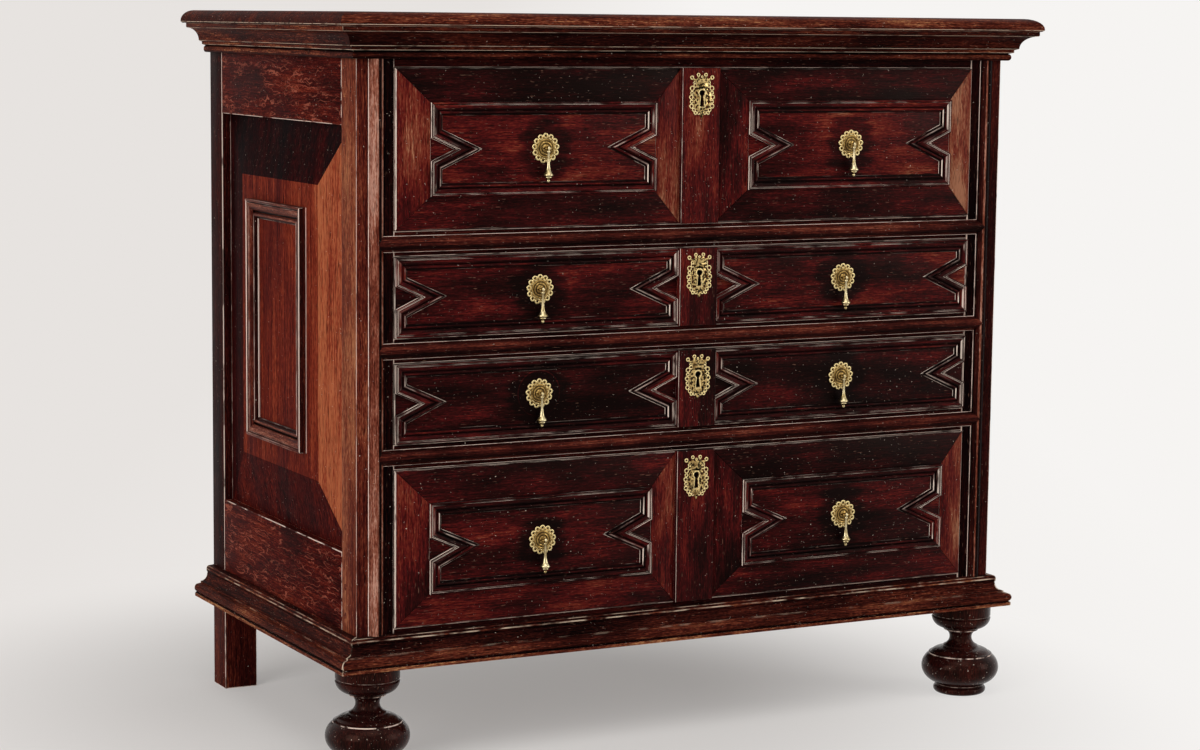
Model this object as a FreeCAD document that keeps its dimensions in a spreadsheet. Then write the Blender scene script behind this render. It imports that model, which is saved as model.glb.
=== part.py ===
import FreeCAD, Part

import math
import os
import re

# Joined oak chest with four long drawers. Millimetres; the front faces -Y and the floor is z = 0.
doc = FreeCAD.newDocument("joined_chest")
sheet = doc.addObject("Spreadsheet::Sheet", "dims")

driving_sizes = [
    # Case frame
    ("case_width", 940),
    ("case_depth", 510),
    ("front_stile_width", 49),
    ("front_stile_depth", 46),
    ("rear_stile_width", 46),
    ("rear_stile_depth", 45),
    ("rail_height", 31),
    ("rail_depth", 70),
    ("edge_rail_depth", 30),
    ("top_rail_height", 49),
    ("sill_reveal", 6),
    ("deep_opening", 198),
    ("shallow_opening", 100),
    # Joinery
    ("fit_gap", 0.2),
    ("groove_depth", 9),
    ("tongue_thickness", 8),
    ("tenon_length", 22),
    ("tenon_thickness", 10),
    ("tenon_shoulder", 6),
    ("tenon_inset", 11),
    ("peg_radius", 4),
    ("peg_length", 24),
    ("peg_gap", 0.1),
    ("peg_inset", 11),
    ("peg_spacing", 36),
    # Framed sides
    ("side_rail_thickness", 28),
    ("side_top_rail_height", 120),
    ("side_bottom_rail_height", 140),
    ("panel_recess", 13),
    ("panel_bevel", 77),
    ("side_frame_width", 190),
    ("side_frame_height", 312),
    ("side_bead_width", 25),
    ("side_bead_height", 11),
    # Framed back
    ("back_recess", 4),
    ("back_thickness", 24),
    ("back_top_rail_height", 70),
    ("back_bottom_rail_height", 80),
    ("back_bottom_rail_rise", 25),
    ("back_muntin_width", 60),
    # Top, cornice and base moulding
    ("top_thickness", 17),
    ("top_front_reach", 45),
    ("top_side_reach", 38),
    ("top_edge_share", 0.5),
    ("top_edge_lip", 3),
    ("back_reach", 10),
    ("cornice_height", 39),
    ("cornice_share", 0.89),
    ("base_height", 42),
    ("base_front_reach", 21.5),
    ("base_side_reach", 28),
    # Half-round mouldings on stiles and rails
    ("astragal_width", 20),
    ("astragal_fillet", 3),
    ("astragal_fillet_rise", 2),
    ("astragal_rise", 9),
    ("astragal_inset", 15),
    # Feet
    ("pad_radius", 36),
    ("pad_height", 11),
    ("ball_radius", 53),
    ("ball_height", 52),
    ("neck_radius", 15.2),
    ("neck_height", 25),
    ("cup_radius", 40.5),
    ("cup_height", 37),
    ("foot_tenon_radius", 12),
    ("foot_tenon_length", 26),
    # Drawer boxes and their runners
    ("front_gap", 1),
    ("front_proud", 1),
    ("front_thickness", 24),
    ("front_lap", 10),
    ("drawer_back_room", 43),
    ("box_gap", 2),
    ("box_side", 16),
    ("box_back", 14),
    ("box_bottom", 10),
    ("box_bottom_rise", 3),
    ("box_top_drop", 8),
    ("runner_height", 16),
    ("runner_grip", 8),
    ("runner_housing", 7),
    ("runner_seat", 20),
    ("runner_gap", 0.3),
    # Geometric facing of the drawer fronts
    ("muntin_width", 53),
    ("muntin_thickness", 9),
    ("bevel_width", 41),
    ("bevel_edge", 3),
    ("bevel_rise", 11),
    ("field_thickness", 12.5),
    ("bead_width", 16),
    ("bead_height", 5),
    ("notch_opening", 28),
    ("notch_depth", 31),
    # Brass drop pulls
    ("rosette_radius", 20.5),
    ("rosette_thickness", 1.6),
    ("rosette_dome", 2.4),
    ("rosette_lobe", 4.2),
    ("wire_radius", 1.2),
    ("staple_gap", 7),
    ("shallow_pull_rise", 4),
    ("staple_reach", 9),
    ("clench_length", 12),
    ("eye_radius", 3.4),
    ("eye_width", 4.4),
    ("eye_gap", 0.05),
    ("drop_length", 42),
    ("drop_radius", 6.6),
    # Locks and escutcheons
    ("plate_thickness", 1.6),
    ("plate_radius", 13.5),
    ("plate_height", 59),
    ("plate_drop", 4),
    ("keyhole_radius", 3.4),
    ("keyhole_slot", 4.4),
    ("keyhole_length", 12),
    ("keyhole_drop", 31),
    ("lock_width", 64),
    ("lock_height", 52),
    ("lock_thickness", 12),
    ("lock_wall", 3),
    ("bolt_width", 22),
    ("bolt_height", 38),
    ("bolt_drop", 1),
    ("bolt_throw", 9),
    ("bolt_gap", 0.3),
]
for row, (alias, value) in enumerate(driving_sizes, 1):
    sheet.set(f"A{row}", alias)
    sheet.set(f"B{row}", str(value))
    sheet.setAlias(f"B{row}", alias)
doc.recompute()

size = {alias: float(sheet.get(alias)) for alias, value in driving_sizes}
alias_words = re.compile(r"\b(" + "|".join(size) + r")\b")

# Places that many pieces share, as expressions of the driving sizes
half = "case_width / 2"
front = "(top_front_reach - back_reach - case_depth) / 2"
leg = "(pad_height + ball_height + neck_height + cup_height)"
sill = f"({leg} + base_height + sill_reveal)"
stile_inner = f"({half} - front_stile_width)"
rear_inner = f"({half} - rear_stile_width)"
rear_face = "(case_depth - rear_stile_depth)"
openings = {4: "deep_opening", 3: "shallow_opening", 2: "shallow_opening", 1: "deep_opening"}
opening_z = {}
level = sill
for number, opening in openings.items():
    opening_z[number] = (level, f"({level} + {opening})")
    level = f"({level} + {opening} + rail_height)"
stile_top = f"({opening_z[1][1]} + top_rail_height)"
cornice_z = f"({stile_top} - cornice_height)"
base_top = f"({leg} + base_height)"

nodes = {}
pegs = []


def bound(text):
    return alias_words.sub(r"dims.\1", str(text))


def place(item, x=None, depth=None, z=None):
    # Depth is measured back from the front face of the case.
    if x is not None:
        item.setExpression("Placement.Base.x", bound(x))
    if depth is not None:
        item.setExpression("Placement.Base.y", bound(f"{front} + ({depth})"))
    if z is not None:
        item.setExpression("Placement.Base.z", bound(z))
    return item


def block(name, x, depth, z):
    box = doc.addObject("Part::Box", name)
    for side, (low, high) in {"Length": x, "Width": depth, "Height": z}.items():
        box.setExpression(side, bound(f"({high}) - ({low})"))
    return place(box, x[0], depth[0], z[0])


def rod(name, radius, length, x, depth, z, axis):
    # A round bar from the given point along the given axis.
    bar = doc.addObject("Part::Cylinder", name)
    bar.setExpression("Radius", bound(radius))
    bar.setExpression("Height", bound(length))
    bar.Placement = FreeCAD.Placement(FreeCAD.Vector(), FreeCAD.Rotation(FreeCAD.Vector(0, 0, 1), axis))
    return place(bar, x, depth, z)


def fuse(name, parts, refine=True):
    joined = doc.addObject("Part::MultiFuse", name)
    joined.Shapes = parts
    joined.Refine = refine
    return joined


def repeat(name, pattern, x, depth, z):
    # A copy of a pattern piece, which itself stands on the floor at the middle of the case front.
    copy = group(name, [pattern])
    for side, text in {"x": x, "y": depth, "z": z}.items():
        copy.setExpression(f"Placement.Base.{side}", bound(text))
    return copy


def cut(name, base, tools):
    result = doc.addObject("Part::Cut", name)
    result.Base = base
    result.Tool = tools[0] if len(tools) == 1 else fuse(f"{name}_tools", tools, False)
    return result


def group(name, parts):
    several = doc.addObject("Part::Compound", name)
    several.Links = parts
    return several


def node(name, item):
    item.Label = name
    nodes[name] = item
    return item


def grown(extents, gap):
    return [(f"({low}) - ({gap})", f"({high}) + ({gap})") for low, high in extents]


def outward(side, near, far):
    # Extent across the width between two distances from the centre plane.
    if side == "left":
        return (f"-({far})", f"-({near})")
    return (f"{near}", f"{far}")


def tenon_pair(name, extents):
    # A tenon and the mortise that takes it.
    return block(f"{name}_tenon", *extents), block(f"{name}_mortise", *grown(extents, "fit_gap"))


def peg(name, x, depth, z, axis):
    # A round peg from the face of a stile through a tenon, and the hole for it.
    pegs.append(rod(f"{name}_peg", "peg_radius", "peg_length", x, depth, z, axis))
    return rod(f"{name}_peg_hole", "peg_radius + peg_gap", "peg_length + peg_gap", x, depth, z, axis)


def new_sketch(body, name, role):
    sketch = body.newObject("Sketcher::SketchObject", name)
    plane = next(item for item in body.Origin.OriginFeatures if item.Role == role)
    sketch.AttachmentSupport = [(plane, "")]
    sketch.MapMode = "FlatFace"
    return sketch


def draw(sketch, start, steps):
    # Each step is an end point, or a middle and an end point for an arc.
    here = FreeCAD.Vector(*start, 0)
    for step in steps:
        if isinstance(step[0], tuple):
            middle, end = (FreeCAD.Vector(*point, 0) for point in step)
            sketch.addGeometry(Part.Arc(here, middle, end))
        else:
            end = FreeCAD.Vector(*step, 0)
            sketch.addGeometry(Part.LineSegment(here, end))
        here = end


def revolve(body, name, start, steps):
    sketch = new_sketch(body, f"{name}_outline", "XZ_Plane")
    draw(sketch, start, steps)
    turned = body.newObject("PartDesign::Revolution", name)
    turned.Profile = sketch
    turned.ReferenceAxis = (sketch, ["V_Axis"])
    turned.Angle = 360
    return turned


def pad(body, name, role, start, steps, length):
    sketch = new_sketch(body, f"{name}_outline", role)
    draw(sketch, start, steps)
    raised = body.newObject("PartDesign::Pad", name)
    raised.Profile = sketch
    raised.setExpression("Length", bound(length))
    return raised


def arc_points(centre, radii, start, end, count):
    # Points along part of an ellipse, angles in degrees.
    points = []
    for index in range(count + 1):
        angle = math.radians(start + (end - start) * index / count)
        points.append((centre[0] + radii[0] * math.cos(angle), centre[1] + radii[1] * math.sin(angle)))
    return points


def solid_of_rings(rings):
    # A solid with flat faces between rings of points, closed at the first and the last.
    faces = [Part.Face(Part.makePolygon(ring + [ring[0]])) for ring in (rings[0], rings[-1])]
    for first, last in zip(rings, rings[1:]):
        for index in range(len(first)):
            after = (index + 1) % len(first)
            corners = [first[index], first[after], last[after], last[index], first[index]]
            faces.append(Part.Face(Part.makePolygon(corners)))
    shell = Part.makeShell(faces)
    shell.sewShape()
    solid = Part.makeSolid(shell)
    return solid if solid.Volume > 0 else solid.reversed()


def mitred_lengths(path, profile):
    # Lengths of moulding round a closed path, mitred where it turns. A profile point is its
    # distance to the right of the path and its height.
    points = [FreeCAD.Vector(*point, 0) for point in path]
    normals = []
    for point, after in zip(points, points[1:] + points[:1]):
        along = (after - point).normalize()
        normals.append(FreeCAD.Vector(along.y, -along.x, 0))
    sections = []
    for index, point in enumerate(points):
        before, after = normals[index - 1], normals[index]
        mitre = (before + after) / (1 + before.dot(after))
        sections.append([point + mitre * wide + FreeCAD.Vector(0, 0, high) for wide, high in profile])
    return [solid_of_rings(pair) for pair in zip(sections, sections[1:] + sections[:1])]


def wrapped_lengths(profile, front_reach, side_reach):
    # Three lengths round the left end, the front and the right end of the case, mitred at the
    # front corners. A profile point is its share of the reach and its height.
    rings = []
    for sign, at_back in ((-1, True), (-1, False), (1, False), (1, True)):
        ring = []
        for share, high in profile:
            depth = size["case_depth"] if at_back else -share * front_reach
            ring.append(FreeCAD.Vector(sign * (size["case_width"] / 2 + share * side_reach), depth, high))
        rings.append(ring)
    return [solid_of_rings(pair) for pair in zip(rings, rings[1:])]


def moulding(name, lengths, turn):
    # Mouldings laid out flat, then turned to face the way they do on the case.
    item = doc.addObject("Part::Feature", name)
    item.Shape = Part.makeCompound(lengths)
    item.Placement = FreeCAD.Placement(FreeCAD.Vector(), turn)
    return item


flat = FreeCAD.Rotation()
facing_front = FreeCAD.Rotation(FreeCAD.Vector(1, 0, 0), 90)
facing_side = {
    side: FreeCAD.Rotation(FreeCAD.Vector(0, sign, 0), FreeCAD.Vector(0, 0, 1), FreeCAD.Vector(sign, 0, 0))
    for side, sign in (("left", -1), ("right", 1))
}
along_x = FreeCAD.Vector(1, 0, 0)
along_back = FreeCAD.Vector(0, 1, 0)
along_up = FreeCAD.Vector(0, 0, 1)

# Front rails: each is tenoned into both front stiles
front_mortises = {"left": [], "right": []}


def front_rail(name, depth, z, tenon_z, pegged=True):
    tenons = []
    holes = []
    tenon_depth = ("tenon_inset", "tenon_inset + tenon_thickness")
    for side in ("left", "right"):
        across = outward(side, stile_inner, f"{stile_inner} + tenon_length")
        tenon, mortise = tenon_pair(f"{name}_{side}", [across, tenon_depth, tenon_z])
        tenons.append(tenon)
        front_mortises[side].append(mortise)
        if pegged:
            peg_x = f"({stile_inner} + peg_inset + peg_radius)"
            peg_z = f"({tenon_z[0]} + {tenon_z[1]}) / 2"
            hole = peg(f"{name}_{side}", outward(side, peg_x, peg_x)[0], "0", peg_z, along_back)
            holes.append(hole)
            front_mortises[side].append(hole)
    board = block(f"{name}_board", (f"-{stile_inner}", stile_inner), depth, z)
    return fuse(f"{name}_joined", [board] + tenons), holes


def inside_shoulders(z):
    return (f"({z[0]}) + tenon_shoulder", f"({z[1]}) - tenon_shoulder")


# The bolt mortise lies in the underside of the rail over each drawer
bolt_x = ("-bolt_width / 2", "bolt_width / 2")
front_face = "-front_proud"
front_back = "(front_thickness - front_proud)"
bolt_depth = (f"{front_back} - lock_thickness + lock_wall", f"{front_back} - lock_wall")


def bolt_mortise(number):
    top = opening_z[number][1]
    extents = grown([bolt_x, bolt_depth], "2 * bolt_gap")
    return block(f"bolt_mortise_{number}", *extents, (f"{top} - rail_height", f"{top} + bolt_throw"))


top_rail_z = (opening_z[1][1], stile_top)
edge_depth = ("0", "edge_rail_depth")
top_rail, holes = front_rail("top_rail", edge_depth, top_rail_z, inside_shoulders(top_rail_z))
node("front_top_rail", cut("front_top_rail", top_rail, holes + [bolt_mortise(1)]))
dividers = []
for number in (1, 2, 3):
    z = (opening_z[number + 1][1], opening_z[number][0])
    divider, holes = front_rail(f"divider_{number}", ("0", "rail_depth"), z, inside_shoulders(z))
    dividers.append(cut(f"divider_{number}", divider, holes + [bolt_mortise(number + 1)]))
node("drawer_rails", group("drawer_rails", dividers))
bottom_rail_z = (leg, sill)
bottom_tenon_z = (f"{leg} + foot_tenon_length + tenon_shoulder", f"{sill} - tenon_shoulder")
bottom_rail, holes = front_rail("bottom_rail", edge_depth, bottom_rail_z, bottom_tenon_z, False)
node("front_bottom_rail", bottom_rail)

# Framed sides: two rails and a raised panel held in grooves all round
side_top_z = (f"{stile_top} - side_top_rail_height", stile_top)
side_bottom_z = (leg, f"{leg} + side_bottom_rail_height")
side_inner = f"({half} - side_rail_thickness)"
tongue_out = f"({half} - panel_recess)"
tongue_in = f"({tongue_out} - tongue_thickness)"
side_front = "front_stile_depth"
side_tools = {}
for side in ("left", "right"):
    tongue = [
        outward(side, tongue_in, tongue_out),
        (f"{side_front} - groove_depth", f"{rear_face} + groove_depth"),
        (f"{side_bottom_z[1]} - groove_depth", f"{side_top_z[0]} + groove_depth"),
    ]
    groove = block(f"side_groove_{side}", *grown(tongue, "fit_gap"))
    side_tools[side] = {"front": [groove], "rear": [groove]}
    rails = []
    for name, z in (("top", side_top_z), ("bottom", side_bottom_z)):
        across = outward(side, side_inner, half)
        board = block(f"side_{name}_{side}_board", across, (side_front, rear_face), z)
        tenon_low = f"{z[0]} + foot_tenon_length + tenon_shoulder"
        tenon_z = (tenon_low, f"{z[1]} - groove_depth - tenon_shoulder")
        if name == "top":
            tenon_z = (f"{z[0]} + groove_depth + tenon_shoulder", f"{z[1]} - tenon_shoulder")
        across = outward(side, tongue_in, tongue_out)
        pieces = [board]
        rail_tools = [groove]
        for end, depth in (
            ("front", (f"{side_front} - tenon_length", side_front)),
            ("rear", (rear_face, f"{rear_face} + tenon_length")),
        ):
            tenon, mortise = tenon_pair(f"side_{name}_{side}_{end}", [across, depth, tenon_z])
            pieces.append(tenon)
            side_tools[side][end].append(mortise)
            for tag, up in (("lower", f"{z[0]} + peg_spacing"), ("upper", f"{z[0]} + 2 * peg_spacing")):
                if name == "bottom":
                    up = f"{up} + foot_tenon_length"
                peg_depth = f"({depth[0]} + {depth[1]}) / 2"
                inward = FreeCAD.Vector({"left": 1, "right": -1}[side], 0, 0)
                face_x = outward(side, half, half)[0]
                hole = peg(f"side_{name}_{side}_{end}_{tag}", face_x, peg_depth, up, inward)
                rail_tools.append(hole)
                side_tools[side][end].append(hole)
        joined = fuse(f"side_{name}_{side}_joined", pieces)
        rails.append(cut(f"side_{name}_rail_{side}", joined, rail_tools))
    node(f"side_rails_{side}", group(f"side_rails_{side}", rails))

    board = block(f"side_tongue_{side}", *tongue)
    raised = doc.addObject("Part::Wedge", f"side_raised_{side}")
    opening_width = f"({rear_face} - {side_front})"
    opening_height = f"({side_top_z[0]} - ({side_bottom_z[1]}))"
    wedge_sizes = {
        "Xmin": f"-{opening_width} / 2",
        "Xmax": f"{opening_width} / 2",
        "X2min": f"-{opening_width} / 2 + panel_bevel",
        "X2max": f"{opening_width} / 2 - panel_bevel",
        "Zmin": f"-{opening_height} / 2",
        "Zmax": f"{opening_height} / 2",
        "Z2min": f"-{opening_height} / 2 + panel_bevel",
        "Z2max": f"{opening_height} / 2 - panel_bevel",
        "Ymin": "0",
        "Ymax": "panel_recess",
    }
    for name, text in wedge_sizes.items():
        raised.setExpression(name, bound(text))
    sign = {"left": 1, "right": -1}[side]
    raised.Placement = FreeCAD.Placement(FreeCAD.Vector(), FreeCAD.Rotation(along_up, 90 * sign))
    middle_depth = f"({side_front} + {rear_face}) / 2"
    middle_z = f"({side_bottom_z[1]} + {side_top_z[0]}) / 2"
    place(raised, outward(side, tongue_out, tongue_out)[0], middle_depth, middle_z)
    node(f"side_panel_{side}", fuse(f"side_panel_{side}", [board, raised]))

    wide = size["side_frame_width"] / 2
    high = size["side_frame_height"] / 2
    bead = size["side_bead_width"]
    rise = size["side_bead_height"]
    quirk = bead * 0.14
    profile = [(0, 0), (0, rise), (quirk, rise)]
    profile += arc_points((quirk, rise * 0.36), (bead * 0.52, rise * 0.46), 90, 0, 5)
    profile += arc_points((bead * 0.8, rise * 0.3), (bead * 0.12, rise * 0.26), 180, 0, 5)
    profile += [(bead, rise * 0.3), (bead, 0)]
    corners = [(-wide, high), (wide, high), (wide, -high), (-wide, -high)]
    frame = moulding(f"side_moulding_{side}", mitred_lengths(corners, profile), facing_side[side])
    place(frame, outward(side, half, half)[0], middle_depth, middle_z)
    node(f"side_moulding_{side}", frame)

# Framed back: two rails, a muntin and two plain panels
back_depth = ("case_depth - back_recess - back_thickness", "case_depth - back_recess")
back_middle = "(case_depth - back_recess - back_thickness / 2)"
back_tenon_depth = (f"{back_middle} - tenon_thickness / 2", f"{back_middle} + tenon_thickness / 2")
back_tongue_depth = (f"{back_middle} - tongue_thickness / 2", f"{back_middle} + tongue_thickness / 2")
back_bottom_low = f"({leg} + back_bottom_rail_rise)"
back_rail_z = {
    "top": (f"({stile_top} - back_top_rail_height)", stile_top),
    "bottom": (back_bottom_low, f"({back_bottom_low} + back_bottom_rail_height)"),
}
back_open_z = (back_rail_z["bottom"][1], back_rail_z["top"][0])
back_mortises = {"left": [], "right": []}
back_grooves = {}
back_panels = []
for side in ("left", "right"):
    extents = [
        outward(side, "back_muntin_width / 2 - groove_depth", f"{rear_inner} + groove_depth"),
        back_tongue_depth,
        (f"{back_open_z[0]} - groove_depth", f"{back_open_z[1]} + groove_depth"),
    ]
    back_panels.append(block(f"back_panel_{side}", *extents))
    back_grooves[side] = block(f"back_groove_{side}", *grown(extents, "fit_gap"))
muntin_x = ("-back_muntin_width / 2", "back_muntin_width / 2")
muntin_tenon_half = "(back_muntin_width / 2 - groove_depth - tenon_shoulder)"
muntin_tenon_x = (f"-{muntin_tenon_half}", muntin_tenon_half)
muntin_pieces = [block("back_muntin_board", muntin_x, back_depth, back_open_z)]
muntin_mortises = {}
for name, z in (
    ("top", (back_open_z[1], f"{back_open_z[1]} + tenon_length")),
    ("bottom", (f"{back_open_z[0]} - tenon_length", back_open_z[0])),
):
    tenon, mortise = tenon_pair(f"back_muntin_{name}", [muntin_tenon_x, back_tenon_depth, z])
    muntin_pieces.append(tenon)
    muntin_mortises[name] = mortise
back_frame = [cut("back_muntin", fuse("back_muntin_joined", muntin_pieces), list(back_grooves.values()))]
for name, z in back_rail_z.items():
    pieces = [block(f"back_{name}_board", (f"-{rear_inner}", rear_inner), back_depth, z)]
    holes = []
    tenon_z = (f"{z[0]} + tenon_shoulder", f"{z[1]} - groove_depth - tenon_shoulder")
    if name == "top":
        tenon_z = (f"{z[0]} + groove_depth + tenon_shoulder", f"{z[1]} - tenon_shoulder")
    for side in ("left", "right"):
        across = outward(side, rear_inner, f"{rear_inner} + tenon_length")
        tenon, mortise = tenon_pair(f"back_{name}_{side}", [across, back_tenon_depth, tenon_z])
        pieces.append(tenon)
        peg_x = f"({rear_inner} + peg_inset)"
        peg_z = f"({tenon_z[0]} + {tenon_z[1]}) / 2"
        hole = peg(f"back_{name}_{side}", outward(side, peg_x, peg_x)[0], "case_depth", peg_z, -along_back)
        holes.append(hole)
        back_mortises[side] += [mortise, hole]
    tools = list(back_grooves.values()) + [muntin_mortises[name]] + holes
    back_frame.append(cut(f"back_{name}_rail", fuse(f"back_{name}_joined", pieces), tools))
node("back_frame", group("back_frame", back_frame))
node("back_panels", group("back_panels", back_panels))

node("joint_pegs", group("joint_pegs", pegs))

# Runners that carry the drawers, let into the stiles at both ends
runner_in = f"({stile_inner} - box_gap - runner_grip)"
runner_out = f"({stile_inner} + runner_housing)"
runner_depth = ("front_stile_depth - runner_seat", f"{rear_face} + runner_seat")
runners = []
runner_z = {}
for number, (low, high) in opening_z.items():
    middle = f"(({low} + {high}) / 2)"
    runner_z[number] = (f"{middle} - runner_height / 2", f"{middle} + runner_height / 2")
    for side in ("left", "right"):
        extents = [outward(side, runner_in, runner_out), runner_depth, runner_z[number]]
        runners.append(block(f"runner_{number}_{side}", *extents))
        housing = block(f"runner_housing_{number}_{side}", *grown(extents, "fit_gap"))
        for end in ("front", "rear"):
            side_tools[side][end].append(housing)
node("drawer_runners", group("drawer_runners", runners))

# Stiles: the rear ones run down to the floor as legs, the front ones stand on turned feet
foot_x = f"({half} - front_stile_width / 2)"
foot_depth = "front_stile_depth / 2"
for side in ("left", "right"):
    across = outward(side, stile_inner, half)
    stile = block(f"front_stile_{side}_board", across, ("0", "front_stile_depth"), (leg, stile_top))
    x = outward(side, foot_x, foot_x)[0]
    bore_radius, bore_length = "foot_tenon_radius + fit_gap", "foot_tenon_length + fit_gap"
    bore = rod(f"foot_bore_{side}", bore_radius, bore_length, x, foot_depth, leg, along_up)
    tools = front_mortises[side] + side_tools[side]["front"] + [bore]
    node(f"front_stile_{side}", cut(f"front_stile_{side}", stile, tools))
    across = outward(side, rear_inner, half)
    stile = block(f"rear_stile_{side}_board", across, (rear_face, "case_depth"), ("0", stile_top))
    tools = back_mortises[side] + side_tools[side]["rear"] + [back_grooves[side]]
    node(f"rear_stile_{side}", cut(f"rear_stile_{side}", stile, tools))

turnings = ("pad", "ball", "neck", "cup")
pad_r, ball_r, neck_r, cup_r = (size[f"{name}_radius"] for name in turnings)
pad_top, ball_tall, neck_tall, cup_tall = (size[f"{name}_height"] for name in turnings)
ball_top = pad_top + ball_tall
neck_top = ball_top + neck_tall
cup_top = neck_top + cup_tall
tenon_r = size["foot_tenon_radius"]
for side in ("left", "right"):
    foot = doc.addObject("PartDesign::Body", f"turned_foot_{side}")
    revolve(
        foot,
        f"foot_turning_{side}",
        (0, 0),
        [
            (pad_r * 0.86, 0),
            ((pad_r, pad_top * 0.6), (pad_r * 0.97, pad_top)),
            ((ball_r * 0.9, pad_top + ball_tall * 0.19), (ball_r, pad_top + ball_tall * 0.5)),
            ((ball_r * 0.87, pad_top + ball_tall * 0.78), (ball_r * 0.5, ball_top)),
            (neck_r * 1.45, ball_top + 1),
            ((neck_r, ball_top + neck_tall * 0.62), (neck_r * 1.25, neck_top)),
            (cup_r * 0.58, neck_top),
            (cup_r * 0.6, neck_top + cup_tall * 0.07),
            ((cup_r * 0.9, neck_top + cup_tall * 0.24), (cup_r, neck_top + cup_tall * 0.5)),
            (cup_r * 0.96, neck_top + cup_tall * 0.54),
            (cup_r, neck_top + cup_tall * 0.6),
            (cup_r, cup_top),
            (tenon_r, cup_top),
            (tenon_r, cup_top + size["foot_tenon_length"]),
            (0, cup_top + size["foot_tenon_length"]),
            (0, 0),
        ],
    )
    place(foot, outward(side, foot_x, foot_x)[0], foot_depth)
    node(f"turned_foot_{side}", foot)

# Mouldings that run round the front and both sides; the front reaches differ from the side ones
height = size["cornice_height"]
profile = [(0, 0)]
profile += arc_points((0.18, height * 0.115), (0.09, height * 0.115), -90, 90, 6)
profile += [(0.34, height * 0.27), (0.34, height * 0.36)]
profile += arc_points((0.97, height * 0.4), (0.5, height * 0.44), 180, 90, 6)
profile += [(1, height * 0.88), (1, height), (0, height)]
front_reach, side_reach = (size[f"top_{way}_reach"] * size["cornice_share"] for way in ("front", "side"))
cornice = moulding("cornice", wrapped_lengths(profile, front_reach, side_reach), flat)
node("cornice", place(cornice, "0", "0", cornice_z))

height = size["base_height"]
profile = [(0, 0), (0.97, 0), (0.97, height * 0.1), (0.9, height * 0.14)]
profile += arc_points((0.84, height * 0.27), (0.16, height * 0.13), -90, 90, 6)
profile += [(0.68, height * 0.42)]
profile += arc_points((0.68, height * 0.72), (0.34, height * 0.24), -90, -180, 5)
profile += arc_points((0.26, height * 0.86), (0.11, height * 0.12), -60, 90, 5)
profile += [(0, height)]
base_lengths = wrapped_lengths(profile, size["base_front_reach"], size["base_side_reach"])
base = moulding("base_moulding", base_lengths, flat)
node("base_moulding", place(base, "0", "0", leg))

# Top board with a thumb moulding worked on its front and ends
lip = size["top_edge_lip"]
core_share = 1 - size["top_edge_share"]
profile = [(0.93, 0), (1, lip * 0.6)]
profile += arc_points((core_share, lip), (1 - core_share, size["top_thickness"] - lip), 0, 90, 7)
rings = []
for share, up in profile:
    right = size["case_width"] / 2 + share * size["top_side_reach"]
    before = -share * size["top_front_reach"]
    behind = size["case_depth"] + size["back_reach"]
    corners = [(-right, before), (right, before), (right, behind), (-right, behind)]
    rings.append([FreeCAD.Vector(*corner, up) for corner in corners])
top = moulding("top_board", [solid_of_rings(rings).removeSplitter()], flat)
node("top_board", place(top, "0", "0", stile_top))

# Half-round mouldings: the upright ones are notched for the pointed ends of the level ones
astragal_half = size["astragal_width"] / 2
astragal_round = astragal_half - size["astragal_fillet"]
fillet_rise = size["astragal_fillet_rise"]
astragal_rise = size["astragal_rise"]


def astragal(name, length):
    bar = doc.addObject("PartDesign::Body", name)
    outline = [
        (-astragal_half, -fillet_rise),
        (-astragal_round, -fillet_rise),
        ((0, -astragal_rise), (astragal_round, -fillet_rise)),
        (astragal_half, -fillet_rise),
        (astragal_half, 0),
        (-astragal_half, 0),
    ]
    pad(bar, f"{name}_length", "XY_Plane", (-astragal_half, 0), outline, length)
    return bar


def diamond(name, x, z):
    # A square bar on edge: it cuts the notches and the points.
    bar = doc.addObject("Part::Box", name)
    for side in ("Length", "Height"):
        bar.setExpression(side, bound("astragal_width / 2 * sqrt(2)"))
    bar.setExpression("Width", bound("2 * astragal_rise"))
    bar.Placement = FreeCAD.Placement(FreeCAD.Vector(), FreeCAD.Rotation(FreeCAD.Vector(0, 1, 0), 45))
    return place(bar, f"{x} - astragal_width / 2", "-1.5 * astragal_rise", z)


stile_line = f"({half} - astragal_inset - astragal_width / 2)"
stile_edge = f"({stile_line} - astragal_width / 2)"
rail_middle = {n: f"(({opening_z[n + 1][1]} + {opening_z[n][0]}) / 2)" for n in (1, 2, 3)}
uprights = []
for side in ("left", "right"):
    bar = place(
        astragal(f"stile_half_round_{side}", f"{cornice_z} - {base_top}"),
        outward(side, stile_line, stile_line)[0],
        "0",
        base_top,
    )
    edge_x = outward(side, stile_edge, stile_edge)[0]
    notches = [diamond(f"notch_{n}_{side}", edge_x, rail_middle[n]) for n in rail_middle]
    uprights.append(cut(f"stile_moulding_{side}", bar, notches))
node("stile_mouldings", group("stile_mouldings", uprights))
levels = []
for number, middle in rail_middle.items():
    bar = astragal(f"rail_half_round_{number}", f"2 * {stile_line}")
    bar.Placement = FreeCAD.Placement(FreeCAD.Vector(), FreeCAD.Rotation(FreeCAD.Vector(0, 1, 0), 90))
    place(bar, f"-{stile_line}", "0", middle)
    points = []
    for side in ("left", "right"):
        tip = outward(side, stile_line, stile_line)[0]
        points.append(diamond(f"point_{number}_{side}_over", tip, f"{middle} + astragal_width / 2"))
        points.append(diamond(f"point_{number}_{side}_under", tip, f"{middle} - astragal_width / 2"))
    levels.append(cut(f"rail_moulding_{number}", bar, points))
node("rail_mouldings", group("rail_mouldings", levels))

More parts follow.
